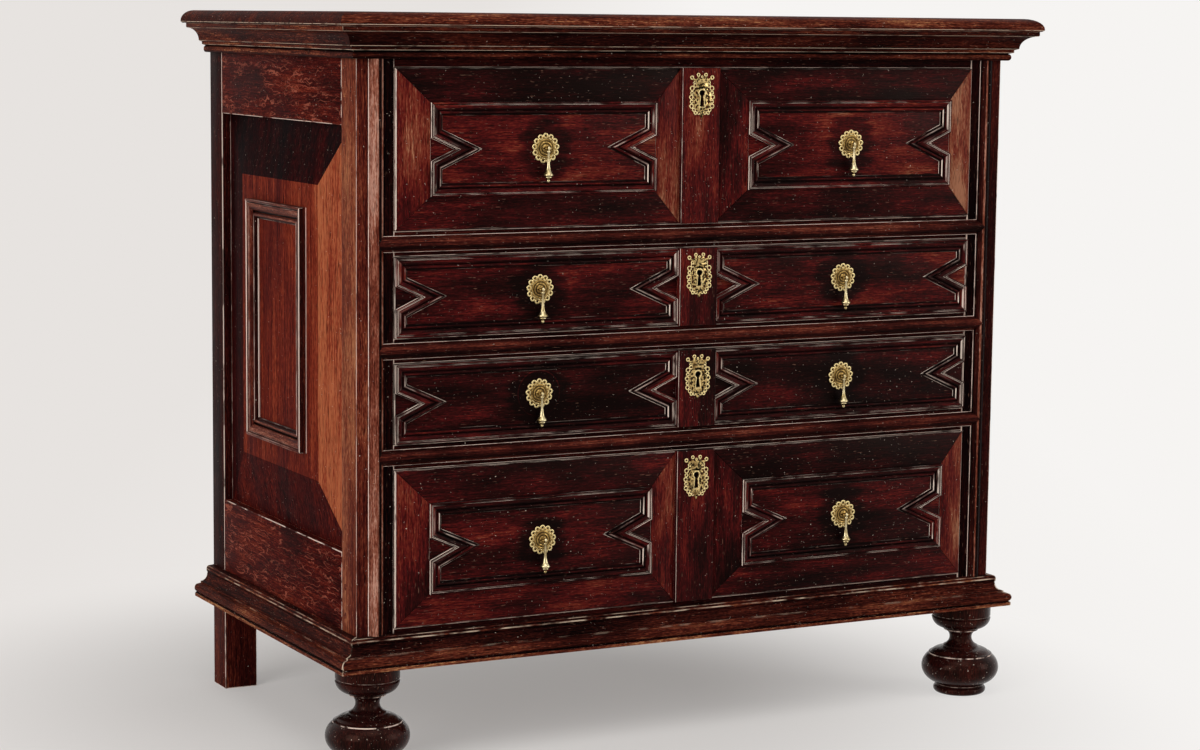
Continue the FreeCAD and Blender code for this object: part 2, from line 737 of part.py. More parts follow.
# Drawers
box_half = f"({stile_inner} - box_gap)"
front_half = f"({stile_inner} - front_gap)"
box_end = f"({back_depth[0]} - drawer_back_room)"
pull_line = f"(({front_half} + muntin_width / 2) / 2)"
front_width = size["case_width"] - 2 * (size["front_stile_width"] + size["front_gap"])
panel_width = (front_width - size["muntin_width"]) / 2
bead_profile = [(0, 0), (0, 1), (0.14, 1)]
bead_profile += arc_points((0.14, 0.36), (0.45, 0.48), 90, 0, 5)
bead_profile += arc_points((0.76, 0.34), (0.11, 0.34), 180, 0, 5)
bead_profile += [(0.9, 0.24), (1, 0.24), (1, 0)]
bead_profile = [(wide * size["bead_width"], high * size["bead_height"]) for wide, high in bead_profile]


def notched_path(width, height):
    # A rectangle with a pointed notch in the middle of each end, clockwise from the top left.
    wide, high = width / 2, height / 2
    mouth = size["notch_opening"] / 2
    tip = wide - size["notch_depth"]
    right_end = [(wide, high), (wide, mouth), (tip, 0), (wide, -mouth), (wide, -high)]
    left_end = [(-x, -z) for x, z in right_end]
    return right_end + left_end


def keyhole(name, depth, z, gap):
    # A round hole with a slot below it.
    eye = rod(
        f"{name}_eye", f"keyhole_radius + {gap}", f"{depth[1]} - ({depth[0]})", "0", depth[0], z, along_back
    )
    slot_x = (f"-keyhole_slot / 2 - {gap}", f"keyhole_slot / 2 + {gap}")
    slot = block(f"{name}_slot", slot_x, depth, (f"{z} - keyhole_length - {gap}", z))
    return fuse(name, [eye, slot])


def wire_holes(name, x, depth, z):
    holes = []
    for sign, tag in ((-1, "left"), (1, "right")):
        leg_x = f"{x} + {sign} * staple_gap / 2"
        length = f"{depth[1]} - ({depth[0]})"
        holes.append(rod(f"{name}_{tag}", "wire_radius + fit_gap", length, leg_x, depth[0], z, along_back))
    return holes


def rosette():
    # A domed disc with a ring of lobes and two holes for the wire.
    body = doc.addObject("PartDesign::Body", "rosette_plate")
    rim = size["rosette_radius"] - size["rosette_lobe"]
    thick = size["rosette_thickness"]
    dome = size["rosette_dome"]
    outline = [(rim, 0), (rim, thick), (rim * 0.8, thick), (rim * 0.74, thick + dome * 0.4)]
    outline += [(rim * 0.5, thick + dome * 0.5), (rim * 0.44, thick + dome), (0, thick + dome), (0, 0)]
    revolve(body, "rosette_disc", (0, 0), outline)
    lobe = new_sketch(body, "rosette_lobe_outline", "XY_Plane")
    centre = FreeCAD.Vector(rim, 0, 0)
    lobe.addGeometry(Part.Circle(centre, along_up, size["rosette_lobe"]))
    raised = body.newObject("PartDesign::Pad", "rosette_first_lobe")
    raised.Profile = lobe
    raised.setExpression("Length", bound("rosette_thickness"))
    ring = body.newObject("PartDesign::PolarPattern", "rosette_lobes")
    ring.Originals = [raised]
    ring.Axis = (lobe, ["N_Axis"])
    ring.Angle = 360
    ring.Occurrences = 12
    body.Tip = ring
    body.Placement = FreeCAD.Placement(FreeCAD.Vector(), facing_front)
    place(body, "0", "0", "0")
    return cut("rosette", body, wire_holes("rosette_hole", "0", ("-staple_reach", "fit_gap"), "0"))


def staple(name, thickness):
    # Bent wire: a bar in front, two legs through the drawer front, ends clenched inside.
    inside = f"(staple_reach + {thickness} + wire_radius)"
    parts = [rod(f"{name}_bar", "wire_radius", "staple_gap", "-staple_gap / 2", "0", "0", along_x)]
    for sign, tag in ((-1, "left"), (1, "right")):
        leg_x = f"{sign} * staple_gap / 2"
        parts.append(rod(f"{name}_leg_{tag}", "wire_radius", inside, leg_x, "0", "0", along_back))
        clench = f"{leg_x} - clench_length" if sign < 0 else leg_x
        end = rod(f"{name}_clench_{tag}", "wire_radius", "clench_length", clench, inside, "0", along_x)
        parts.append(end)
        for depth, place_name in (("0", "outer"), (inside, "inner")):
            bend = doc.addObject("Part::Sphere", f"{name}_{tag}_{place_name}_bend")
            bend.setExpression("Radius", bound("wire_radius"))
            parts.append(place(bend, leg_x, depth, "0"))
    return fuse(name, parts)


def drop():
    # A slender bell that hangs from the staple by an eye.
    body = doc.addObject("PartDesign::Body", "drop_bell")
    long, wide = size["drop_length"], size["drop_radius"]
    start = -size["wire_radius"] - 1
    ball = wide * 0.42
    outline = [
        (wide * 0.3, start),
        (wide * 0.26, -long * 0.3),
        ((wide * 0.5, -long * 0.56), (wide * 0.95, -long * 0.72)),
        (wide, -long * 0.75),
        (wide * 0.85, -long * 0.82),
        (ball * math.sin(0.8), ball * (1 + math.cos(0.8)) - long),
        ((ball, ball - long), (0, -long)),
        (0, start),
    ]
    revolve(body, "drop_turning", (0, start), outline)
    place(body, "0", "0", "0")
    ring = rod("drop_ring", "eye_radius", "eye_width", "-eye_width / 2", "0", "0", along_x)
    hole = rod("drop_hole", "wire_radius + eye_gap", "2 * eye_width", "-eye_width", "0", "0", along_x)
    return cut("drop", fuse("drop_joined", [body, ring]), [hole])


def escutcheon():
    # A pierced plate: a lobed shield under a row of curls, with a pointed foot. Its keyhole is at z = 0.
    depth = ("-plate_thickness", "0")
    crown_top = "(keyhole_drop - plate_drop - plate_radius * 0.32)"

    def disc(tag, radius, x, z):
        return rod(f"plate_{tag}", radius, "plate_thickness", x, depth[0], z, along_back)

    parts = [disc("core", "plate_radius", "0", "0")]
    parts.append(disc("lower", "plate_radius * 0.85", "0", "-plate_radius * 0.55"))
    for index in range(10):
        angle = math.radians(36 * index + 18)
        across = f"plate_radius * 1.08 * {math.sin(angle):.4f}"
        up = f"plate_radius * (1.3 * {math.cos(angle):.4f} - 0.22)"
        parts.append(disc(f"lobe_{index}", "plate_radius * 0.34", across, up))
    for index in range(4):
        across = f"plate_radius * 0.8 * ({index} - 1.5)"
        curl_z = f"{crown_top} + plate_radius * {0.1 if index in (1, 2) else 0.04}"
        parts.append(disc(f"curl_{index}", "plate_radius * 0.22", across, curl_z))
    crown_x = ("-plate_radius * 1.2", "plate_radius * 1.2")
    parts.append(block("plate_crown", crown_x, depth, (f"{crown_top} - plate_radius * 0.3", crown_top)))
    waist_x = ("-plate_radius * 0.6", "plate_radius * 0.6")
    parts.append(block("plate_waist", waist_x, depth, ("0", crown_top)))
    point_x = ("-plate_radius * 0.2", "plate_radius * 0.2")
    parts.append(block("plate_point", point_x, depth, ("keyhole_drop - plate_drop - plate_height", "0")))
    through = ("-2 * plate_thickness", "plate_thickness")
    return cut("plate", fuse("plate_whole", parts), [keyhole("plate_keyhole", through, "0", "0")])


rosette_pattern = rosette()
staple_patterns = {
    True: staple("deep_staple", "field_thickness + front_thickness"),
    False: staple("shallow_staple", "front_thickness"),
}
drop_pattern = drop()
plate_pattern = escutcheon()

for number, (low, high) in opening_z.items():
    name = f"drawer_{number}"
    deep = openings[number] == "deep_opening"
    front_z = (f"({low} + front_gap)", f"({high} - front_gap)")
    middle_z = f"(({low} + {high}) / 2)"
    face = f"{front_face} - field_thickness" if deep else front_face
    key_z = f"({front_z[1]} - keyhole_drop)"
    pull_z = middle_z if deep else f"({middle_z} + shallow_pull_rise)"

    # Box: sides lapped into the front, back between the sides, bottom under them
    bottom_z = (f"{front_z[0]} + box_bottom_rise", f"{front_z[0]} + box_bottom_rise + box_bottom")
    side_z = (bottom_z[1], f"{front_z[1]} - box_top_drop")
    lap = f"({front_face} + front_lap)"
    bottom_extents = [(f"-{box_half}", box_half), (lap, box_end), bottom_z]
    boards = [block(f"{name}_bottom", *bottom_extents)]
    front_tools = [block(f"{name}_bottom_rebate", *grown(bottom_extents, "fit_gap"))]
    for side in ("left", "right"):
        across = outward(side, f"{box_half} - box_side", box_half)
        board = block(f"{name}_side_{side}_board", across, (lap, box_end), side_z)
        rebate_x = outward(side, f"{box_half} - box_side - fit_gap", f"{box_half} + box_gap")
        rebate_depth = (f"{lap} - fit_gap", f"{front_back} + fit_gap")
        rebate_z = (f"{front_z[0]} - fit_gap", f"{front_z[1]} + fit_gap")
        front_tools.append(block(f"{name}_side_{side}_rebate", rebate_x, rebate_depth, rebate_z))
        groove_x = outward(side, f"{runner_in} - runner_gap", f"{box_half} + runner_gap")
        groove_depth = (f"{runner_depth[0]} - runner_gap", f"{box_end} + runner_gap")
        groove_z = (f"{runner_z[number][0]} - runner_gap", f"{runner_z[number][1]} + runner_gap")
        groove = block(f"{name}_runner_groove_{side}", groove_x, groove_depth, groove_z)
        boards.append(cut(f"{name}_side_{side}", board, [groove]))
    back_x = (f"-{box_half} + box_side", f"{box_half} - box_side")
    boards.append(block(f"{name}_back", back_x, (f"{box_end} - box_back", box_end), side_z))
    node(f"{name}_box", group(f"{name}_box", boards))

    # Lock let into the back of the front, with a bolt that rises into the rail above
    lock_depth = (f"{front_back} - lock_thickness", front_back)
    lock_z = (f"{front_z[1]} - lock_height", front_z[1])
    lock_extents = [("-lock_width / 2", "lock_width / 2"), lock_depth, lock_z]
    front_tools.append(block(f"{name}_lock_recess", *grown(lock_extents, "fit_gap")))
    bolt_top = f"({front_z[1]} - bolt_drop)"
    bolt_z = (f"{bolt_top} - bolt_height", bolt_top)
    bolt_channel = grown([bolt_x, bolt_depth], "bolt_gap")
    channel = block(f"{name}_bolt_channel", *bolt_channel, (bolt_z[0], f"{front_z[1]} + bolt_drop"))
    key_depth = (f"{front_face} - muntin_thickness - plate_thickness", f"{lock_depth[0]} + lock_wall / 2")
    key_cut = keyhole(f"{name}_key_way", key_depth, key_z, "fit_gap")
    node(f"{name}_lock", cut(f"{name}_lock", block(f"{name}_lock_case", *lock_extents), [channel, key_cut]))
    node(f"{name}_bolt", block(f"{name}_bolt", bolt_x, bolt_depth, bolt_z))

    # Facing: a muntin, and on each side of it a mitred moulding with pointed notches
    facing_depth = (f"{front_face} - muntin_thickness", front_face)
    muntin_x = ("-muntin_width / 2", "muntin_width / 2")
    muntin = block(f"{name}_muntin_board", muntin_x, facing_depth, front_z)
    facing = [cut(f"{name}_muntin", muntin, [key_cut])]
    panel_height = size[openings[number]] - 2 * size["front_gap"]
    plates = []
    for side in ("left", "right"):
        x = outward(side, pull_line, pull_line)[0]
        inset = 0
        if deep:
            bevel = size["bevel_width"]
            inset = bevel
            wide, high_half = panel_width / 2, panel_height / 2
            corners = [(-wide, high_half), (wide, high_half), (wide, -high_half), (-wide, -high_half)]
            edge = size["bevel_edge"]
            slope = [(0, 0), (0, edge), (bevel, edge + size["bevel_rise"]), (bevel, 0)]
            bevels = moulding(f"{name}_bevels_{side}", mitred_lengths(corners, slope), facing_front)
            facing.append(place(bevels, x, front_face, middle_z))
            field_x = (f"{x} - ({front_half} - muntin_width / 2) / 2 + bevel_width",
                       f"{x} + ({front_half} - muntin_width / 2) / 2 - bevel_width")
            field_z = (f"{front_z[0]} + bevel_width", f"{front_z[1]} - bevel_width")
            field = block(f"{name}_field_{side}_board", field_x, (face, front_face), field_z)
            holes = wire_holes(f"{name}_field_{side}", x, (f"{face} - fit_gap", front_face), pull_z)
            facing.append(cut(f"{name}_field_{side}", field, holes))
        path = notched_path(panel_width - 2 * inset, panel_height - 2 * inset)
        beads = moulding(f"{name}_beads_{side}", mitred_lengths(path, bead_profile), facing_front)
        facing.append(place(beads, x, face, middle_z))

        # Pull: rosette, staple and hanging drop
        through = (f"{front_face} - fit_gap", f"{front_back} + fit_gap")
        front_tools += wire_holes(f"{name}_front_{side}", x, through, pull_z)
        pivot = f"{face} - staple_reach"
        plates.append(repeat(f"{name}_rosette_{side}", rosette_pattern, x, face, pull_z))
        plates.append(repeat(f"{name}_staple_{side}", staple_patterns[deep], x, pivot, pull_z))
        node(f"{name}_drop_{side}", repeat(f"{name}_drop_{side}", drop_pattern, x, pivot, pull_z))
    node(f"{name}_facing", group(f"{name}_facing", facing))
    node(f"{name}_pull_plates", group(f"{name}_pull_plates", plates))
    plate = repeat(f"{name}_escutcheon", plate_pattern, "0", f"{front_face} - muntin_thickness", key_z)
    node(f"{name}_escutcheon", plate)

    board = block(f"{name}_front_board", (f"-{front_half}", front_half), (front_face, front_back), front_z)
    node(f"{name}_front", cut(f"{name}_front", board, front_tools + [key_cut]))

doc.recompute()
failed = [item.Name for item in doc.Objects if {"Invalid", "Error"} & set(item.State)]
failed += [name for name, item in nodes.items() if item.Shape.isNull() or not item.Shape.isValid()]
if failed:
    raise RuntimeError("failed: " + ", ".join(failed))

os.makedirs("parts", exist_ok=True)
for name, item in nodes.items():
    item.Shape.exportStep(f"parts/{name}.step")
print(len(nodes), "nodes,", sum(len(item.Shape.Solids) for item in nodes.values()), "solids")
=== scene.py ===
import math
import random

import bmesh
import bpy
from mathutils import Matrix, Vector


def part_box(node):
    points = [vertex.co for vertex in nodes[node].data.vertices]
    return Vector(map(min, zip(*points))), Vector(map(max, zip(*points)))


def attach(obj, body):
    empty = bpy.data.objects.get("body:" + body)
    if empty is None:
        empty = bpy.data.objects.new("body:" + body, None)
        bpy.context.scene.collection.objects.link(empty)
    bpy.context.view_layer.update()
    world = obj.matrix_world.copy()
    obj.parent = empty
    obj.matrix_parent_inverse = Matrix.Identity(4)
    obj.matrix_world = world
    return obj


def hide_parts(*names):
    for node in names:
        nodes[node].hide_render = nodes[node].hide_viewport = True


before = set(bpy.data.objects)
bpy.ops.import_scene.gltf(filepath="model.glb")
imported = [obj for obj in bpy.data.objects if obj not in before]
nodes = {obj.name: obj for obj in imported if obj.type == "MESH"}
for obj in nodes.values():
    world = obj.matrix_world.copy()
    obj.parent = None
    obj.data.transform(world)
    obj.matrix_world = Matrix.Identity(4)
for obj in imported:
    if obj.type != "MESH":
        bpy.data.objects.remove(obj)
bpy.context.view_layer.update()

scene = bpy.context.scene
scene.view_settings.view_transform = "Standard"
mm = 0.001
dice = random.Random(1690)  # every board starts at its own place in the grain
grainReach = 5  # metres of grain to start in
print("frame loaded:", len(nodes), "nodes")

# camera at the photograph's place: left of the chest, a little above the middle
cameraView = {
    "place": (-1.7765, -3.355, 0.9225), "yaw": 27.749, "pitch": -7.248, "roll": 0.612,
    "lens": 84.07, "sensor": 36,
}
camera = bpy.data.objects.new("camera", bpy.data.cameras.new("camera"))
camera.data.lens = cameraView["lens"]
camera.data.sensor_width = cameraView["sensor"]
camera.matrix_world = (
    Matrix.Translation(cameraView["place"])
    @ Matrix.Rotation(-math.radians(cameraView["yaw"]), 4, "Z")
    @ Matrix.Rotation(math.radians(90 + cameraView["pitch"]), 4, "X")
    @ Matrix.Rotation(math.radians(cameraView["roll"]), 4, "Z")
)
scene.collection.objects.link(camera)
scene.camera = camera
print("camera set")

under, over, mixed = 6, 7, 2  # a colour Mix node's two colours, and its result
rangeEnds = {"span": ("From Min", "From Max"), "gives": ("To Min", "To Max")}  # a Map Range node's values


def linear(text):  # sRGB hex to linear
    parts = [int(text[place:place + 2], 16) / 255 for place in (1, 3, 5)]
    return [p / 12.92 if p <= 0.04045 else ((p + 0.055) / 1.055) ** 2.4 for p in parts] + [1.0]


def setNode(tree, node, settings, links):
    for key, value in (settings or {}).items():
        if key == "stops":  # a ramp's places and colours
            while len(node.color_ramp.elements) < len(value):
                node.color_ramp.elements.new(1.0)
            for stop, (place, text) in zip(node.color_ramp.elements, value):
                stop.position = place
                stop.color = linear(text)
        elif key in rangeEnds:
            for end, number in zip(rangeEnds[key], value):
                node.inputs[end].default_value = number
        elif isinstance(key, str) and hasattr(node, key):
            setattr(node, key, value)
        else:
            node.inputs[key].default_value = value
    for key, source in (links or {}).items():  # from a socket, or from a node's first one
        tree.links.new(getattr(source, "outputs", [source])[0], node.inputs[key])
    return node


def addNode(tree, kind, settings=None, links=None):
    return setNode(tree, tree.nodes.new("ShaderNode" + kind), settings, links)


def startMaterial(name):
    material = bpy.data.materials.new(name)
    material.use_nodes = True
    return material, material.node_tree, material.node_tree.nodes["Principled BSDF"]


# Quartered oak, stained dark and waxed for three centuries: red-brown streaks along the grain,
# near-black pores, a low sheen, and pale lines on the arrises and crests: bare wood where they have rubbed,
# and a painted highlight.
# Patterns: length along the grain and width across it, in mm, and how much each one shows.
# Streaks and clouds are at full size; pores, scratches and specks are finer in life and drawn wider, to show.
oakLooks = {
    "stainedOakFrame": {
        "streak": (260, 14, 0.05), "line": (36, 1.8, 0.1), "grit": (6, 1.2, 0.09), "cloud": (200, 60, 0.09),
        "pore": (14, 1.4, 0.6), "scratch": (12, 1.3, 0.35), "speck": (2.4, 2.4, 0.8), "scuff": (34, 12, 1.0),
        "roughness": (0.38, 0.58), "sheen": 0.012, "wearLeast": 0.3, "worn": "#ead1c2",
        "ramp": [(0.0, "#060203"), (0.2, "#190707"), (0.4, "#2f0f0d"), (0.55, "#461713"), (0.7, "#64281c"),
                 (0.85, "#86432d"), (1.0, "#ab6c4b")],
    },
    "stainedOakPanel": {
        "streak": (260, 12, 0.05), "line": (30, 1.7, 0.1), "grit": (6, 1.2, 0.09), "cloud": (120, 36, 0.18),
        "pore": (13, 1.3, 0.6), "scratch": (10, 1.2, 0.4), "speck": (2.2, 2.2, 0.85), "scuff": (34, 12, 1.0),
        "roughness": (0.34, 0.54), "sheen": 0.07, "wearLeast": 0.35, "worn": "#f3dece",
        "ramp": [(0.0, "#060203"), (0.2, "#1b0607"), (0.4, "#330c0d"), (0.55, "#4f1213"), (0.68, "#672019"),
                 (0.8, "#7a3526"), (0.92, "#8d5039"), (1.0, "#a87054")],
        "pulls": {
            "across": 223.25, "heights": (763, 587, 456, 272), "halo": (27, 44), "ragged": 50, "grease": 0.34,
            "ringAt": (-223.25, 456), "ringRadius": 29, "ringLine": (0.4, 1.0), "ringLight": 0.34,
        },
    },
    "sidePanelOak": {
        "streak": (420, 16, 0.05), "line": (80, 1.9, 0.12), "grit": (8, 1.3, 0.09), "cloud": (260, 60, 0.08),
        "pore": (18, 1.4, 0.6), "scratch": (14, 1.4, 0.3), "speck": (2.6, 2.6, 0.7), "scuff": (34, 12, 1.0),
        "roughness": (0.42, 0.6), "sheen": 0.006, "wearLeast": 0.2, "worn": "#ead1c2",
        "ramp": [(0.0, "#060203"), (0.2, "#1b0607"), (0.4, "#340c0c"), (0.55, "#4e1613"), (0.7, "#6c2419"),
                 (0.85, "#923c26"), (1.0, "#b46441")],
    },
    "stainedOakMoulding": {
        "streak": (220, 8, 0.04), "line": (30, 1.6, 0.09), "grit": (5, 1.2, 0.08), "cloud": (120, 40, 0.1),
        "pore": (12, 1.3, 0.5), "scratch": (10, 1.2, 0.45), "speck": (2.0, 2.0, 0.9), "scuff": (30, 9, 1.0),
        "roughness": (0.26, 0.46), "sheen": 0.025, "wearLeast": 0.35, "worn": "#f5dacb",
        "ramp": [(0.0, "#060303"), (0.2, "#190808"), (0.4, "#30110e"), (0.55, "#481b16"), (0.7, "#693022"),
                 (0.85, "#925643"), (1.0, "#be8d7a")],
    },
    "wornOakMoulding": {
        "streak": (220, 8, 0.06), "line": (30, 1.6, 0.12), "grit": (5, 1.2, 0.12), "cloud": (150, 40, 0.12),
        "pore": (12, 1.3, 0.6), "scratch": (10, 1.2, 0.5), "speck": (2.2, 2.2, 0.9), "scuff": (30, 9, 1.0),
        "roughness": (0.42, 0.52), "sheen": 0.01, "wearLeast": 0.3, "worn": "#e8d0b6",
        "ramp": [(0.0, "#070303"), (0.2, "#1b0908"), (0.4, "#32120e"), (0.55, "#4b1d15"), (0.7, "#6a3122"),
                 (0.85, "#8f5337"), (1.0, "#b98459")],
    },
    "fleckedOak": {
        "streak": (240, 12, 0.05), "line": (36, 1.8, 0.09), "grit": (6, 1.2, 0.09), "cloud": (140, 50, 0.1),
        "pore": (14, 1.4, 0.5), "scratch": (12, 1.4, 0.3), "speck": (2.6, 2.6, 0.7), "scuff": (34, 12, 1.0),
        "roughness": (0.42, 0.6), "sheen": 0.008, "wearLeast": 0.2, "worn": "#ead1c2",
        "ramp": [(0.0, "#060203"), (0.2, "#1b0707"), (0.4, "#340e0c"), (0.55, "#4c1512"), (0.7, "#6c271b"),
                 (0.85, "#8f432d"), (1.0, "#b06a49")],
        "fleck": {
            "length": 58, "width": 7.5, "line": (0.006, 0.03), "share": 0.75, "colour": "#b0604c",
            "waves": (75, 40, 40), "sway": (0.0, 0.008, 0.008),
            "gaps": {"cloud": (0.34, 0.5), "scuff": (0.4, 0.52)},
        },
    },
}
oakLooks["turnedOak"] = {  # the feet have kept their polish
    **oakLooks["stainedOakMoulding"], "roughness": (0.12, 0.22), "sheen": 0.13,
    "speck": (2.4, 2.4, 0.9), "speckSpan": (0.735, 0.76),
}
oakLooks["sideFrameOak"] = {**oakLooks["stainedOakMoulding"], "wearLeast": 0.65}  # pale lines kept even and strong: wear and painted highlight
# all oak: how broken up each pattern is, which ones shift the stain and over what span of the noise,
# what lies over the stain, as span and colour, and how wear and relief come from the patterns
oakGrain = {
    "detail": {
        "streak": 2, "line": 3, "grit": 2, "cloud": 2, "pore": 1, "scuff": 3, "scratch": 1, "speck": 1,
    },
    "stain": ("streak", "line", "grit", "cloud"), "stainSpan": (0.36, 0.64),
    "marks": {
        "pore": ((0.55, 0.68), "#060202"), "scratch": ((0.71, 0.77), "#a77a66"),
        "speck": ((0.765, 0.79), "#d9cbbc"),
    },
    "scuffSpan": (0.4, 0.6), "wearSpan": (0.16, 0.6), "polishSpan": (0.3, 0.7),
    "poreDepth": -0.6, "relief": 0.3, "reliefDepth": 0.6, "ior": 1.5, "tint": "#d9a08a",
}


def pullMarks(tree, level, streaks, look):
    # the wood is darker with grease round each pull, and one pull has a circle scratched round it
    place = addNode(tree, "TexCoord").outputs["Object"]
    flat = addNode(tree, "Mapping", {"Scale": (1, 0, 1)}, {"Vector": place})
    bothSides = addNode(tree, "VectorMath", {"operation": "ABSOLUTE"}, {0: flat})
    nearest = None
    for height in look["heights"]:
        pull = (look["across"] * mm, 0, height * mm)
        away = addNode(tree, "VectorMath", {"operation": "DISTANCE", 1: pull}, {0: bothSides})
        away = away.outputs["Value"]
        if nearest is not None:
            away = addNode(tree, "Math", {"operation": "MINIMUM"}, {0: nearest, 1: away})
        nearest = away
    spread = look["ragged"] * mm
    edge = addNode(tree, "Math", {"operation": "MULTIPLY_ADD", 1: spread}, {0: streaks, 2: nearest})
    halo = {"span": [radius * mm + spread / 2 for radius in look["halo"]], "gives": (look["grease"], 0)}
    grease = addNode(tree, "MapRange", {"interpolation_type": "SMOOTHSTEP", **halo}, {"Value": edge})
    level = addNode(tree, "Math", {"operation": "SUBTRACT"}, {0: level, 1: grease})
    x, z = look["ringAt"]
    ring = addNode(tree, "VectorMath", {"operation": "DISTANCE", 1: (x * mm, 0, z * mm)}, {0: flat})
    radius = {"operation": "SUBTRACT", 1: look["ringRadius"] * mm}
    ring = addNode(tree, "Math", radius, {0: ring.outputs["Value"]})
    ring = addNode(tree, "Math", {"operation": "ABSOLUTE"}, {0: ring})
    line = {"span": [half * mm for half in look["ringLine"]], "gives": (look["ringLight"], 0)}
    ring = addNode(tree, "MapRange", line, {"Value": ring})
    return addNode(tree, "Math", {"operation": "ADD"}, {0: level, 1: ring})


def silverGrain(tree, board, pattern, look):
    # medullary ray: short wavy light marks, in rows that come and go, on a quartered board
    bend = addNode(tree, "Mapping", {"Scale": look["waves"]}, {"Vector": board})
    bend = addNode(tree, "TexNoise", {"Scale": 1.0, "Detail": 1}, {"Vector": bend}).outputs["Color"]
    bend = addNode(tree, "VectorMath", {"operation": "MULTIPLY_ADD", 1: look["sway"]}, {0: bend, 2: board})
    along, across = 1000 / look["length"], 1000 / look["width"]
    rows = addNode(tree, "Mapping", {"Scale": (along, across, across)}, {"Vector": bend})
    rows = addNode(tree, "TexNoise", {"Scale": 1.0, "Detail": 1}, {"Vector": rows})
    rows = addNode(tree, "Math", {"operation": "SUBTRACT", 1: 0.5}, {0: rows})
    rows = addNode(tree, "Math", {"operation": "ABSOLUTE"}, {0: rows})
    line = {"span": look["line"], "gives": (look["share"], 0)}
    rows = addNode(tree, "MapRange", line, {"Value": rows})
    for part, span in look["gaps"].items():
        spread = addNode(tree, "MapRange", {"span": span}, {"Value": pattern[part]})
        rows = addNode(tree, "Math", {"operation": "MULTIPLY"}, {0: rows, 1: spread})
    return rows


def stainedOak(name, look):
    material, tree, shader = startMaterial(name)
    board = addNode(tree, "Attribute", {"attribute_name": "board"}).outputs["Vector"]
    level = addNode(tree, "Attribute", {"attribute_name": "tone"}).outputs["Fac"]
    wear = addNode(tree, "Attribute", {"attribute_name": "wear"}).outputs["Fac"]
    pattern, shows = {}, {}
    for part, detail in oakGrain["detail"].items():
        length, width, shows[part] = look[part]
        scale = (1000 / length, 1000 / width, 1000 / width)
        run = addNode(tree, "Mapping", {"Scale": scale}, {"Vector": board})
        pattern[part] = addNode(tree, "TexNoise", {"Scale": 1.0, "Detail": detail}, {"Vector": run})
    for part in oakGrain["stain"]:
        swing = {"clamp": False, "span": oakGrain["stainSpan"], "gives": (-shows[part], shows[part])}
        swing = addNode(tree, "MapRange", swing, {"Value": pattern[part]})
        level = addNode(tree, "Math", {"operation": "ADD"}, {0: level, 1: swing})
    if "pulls" in look:
        level = pullMarks(tree, level, pattern["streak"], look["pulls"])
    covers = {}
    if "fleck" in look:
        covers["fleck"] = (silverGrain(tree, board, pattern, look["fleck"]), look["fleck"]["colour"])
    for part, (span, colour) in oakGrain["marks"].items():
        mark = {"span": look.get(part + "Span", span), "gives": (0, shows[part])}
        covers[part] = (addNode(tree, "MapRange", mark, {"Value": pattern[part]}), colour)
    # pale lines on the marked arrises and crests, broken up by scuffs: bare rubbed wood, and a painted
    # highlight
    rubbed = {"span": oakGrain["scuffSpan"], "gives": (look["wearLeast"], shows["scuff"])}
    rubbed = addNode(tree, "MapRange", rubbed, {"Value": pattern["scuff"]})
    rubbed = addNode(tree, "Math", {"operation": "MULTIPLY"}, {0: rubbed, 1: wear})
    edge = {"interpolation_type": "SMOOTHSTEP", "span": oakGrain["wearSpan"]}
    covers["worn"] = (addNode(tree, "MapRange", edge, {"Value": rubbed}), look["worn"])
    paint = addNode(tree, "ValToRGB", {"stops": look["ramp"]}, {0: level}).outputs["Color"]
    for share, colour in covers.values():
        paint = addNode(tree, "Mix", {"data_type": "RGBA", over: linear(colour)}, {0: share, under: paint})
        paint = paint.outputs[mixed]
    polish = {"span": oakGrain["polishSpan"], "gives": look["roughness"]}
    polish = addNode(tree, "MapRange", polish, {"Value": pattern["cloud"]})
    sunk = {"operation": "MULTIPLY_ADD", 1: oakGrain["poreDepth"]}
    relief = addNode(tree, "Math", sunk, {0: covers["pore"][0], 2: pattern["line"]})
    bump = {"Strength": oakGrain["relief"], "Distance": oakGrain["reliefDepth"] * mm}
    relief = addNode(tree, "Bump", bump, {"Height": relief})
    tint = linear(oakGrain["tint"])
    wax = {"IOR": oakGrain["ior"], "Specular IOR Level": look["sheen"], "Specular Tint": tint}
    setNode(tree, shader, wax, {"Base Color": paint, "Roughness": polish, "Normal": relief})
    return material


oak = {name: stainedOak(name, look) for name, look in oakLooks.items()}

# Sawn oak, never stained: pale brown, dusty and rough, with saw-straight grain and handling dirt.
# Grain by the way it runs: marks to a metre along x, y and z. Dirt is in marks to a metre too.
dryLooks = {
    "dryOakDeep": {"scale": (160, 8, 160), "ramp": [(0.25, "#53341f"), (0.5, "#805737"), (0.75, "#9c7149")]},
    "dryOakBack": {"scale": (160, 160, 8), "ramp": [(0.25, "#331d10"), (0.5, "#573620"), (0.75, "#744d31")]},
}
dryGrain = {
    "dirt": 14, "finer": 5, "pores": ((0.58, 0.7), 0.5, "#2a190e"), "grime": ((0.5, 0.75), 0.6, "#33231a"),
    "roughness": (0.6, 0.85), "relief": 0.35, "reliefDepth": 0.6, "sheen": 0.25,
}


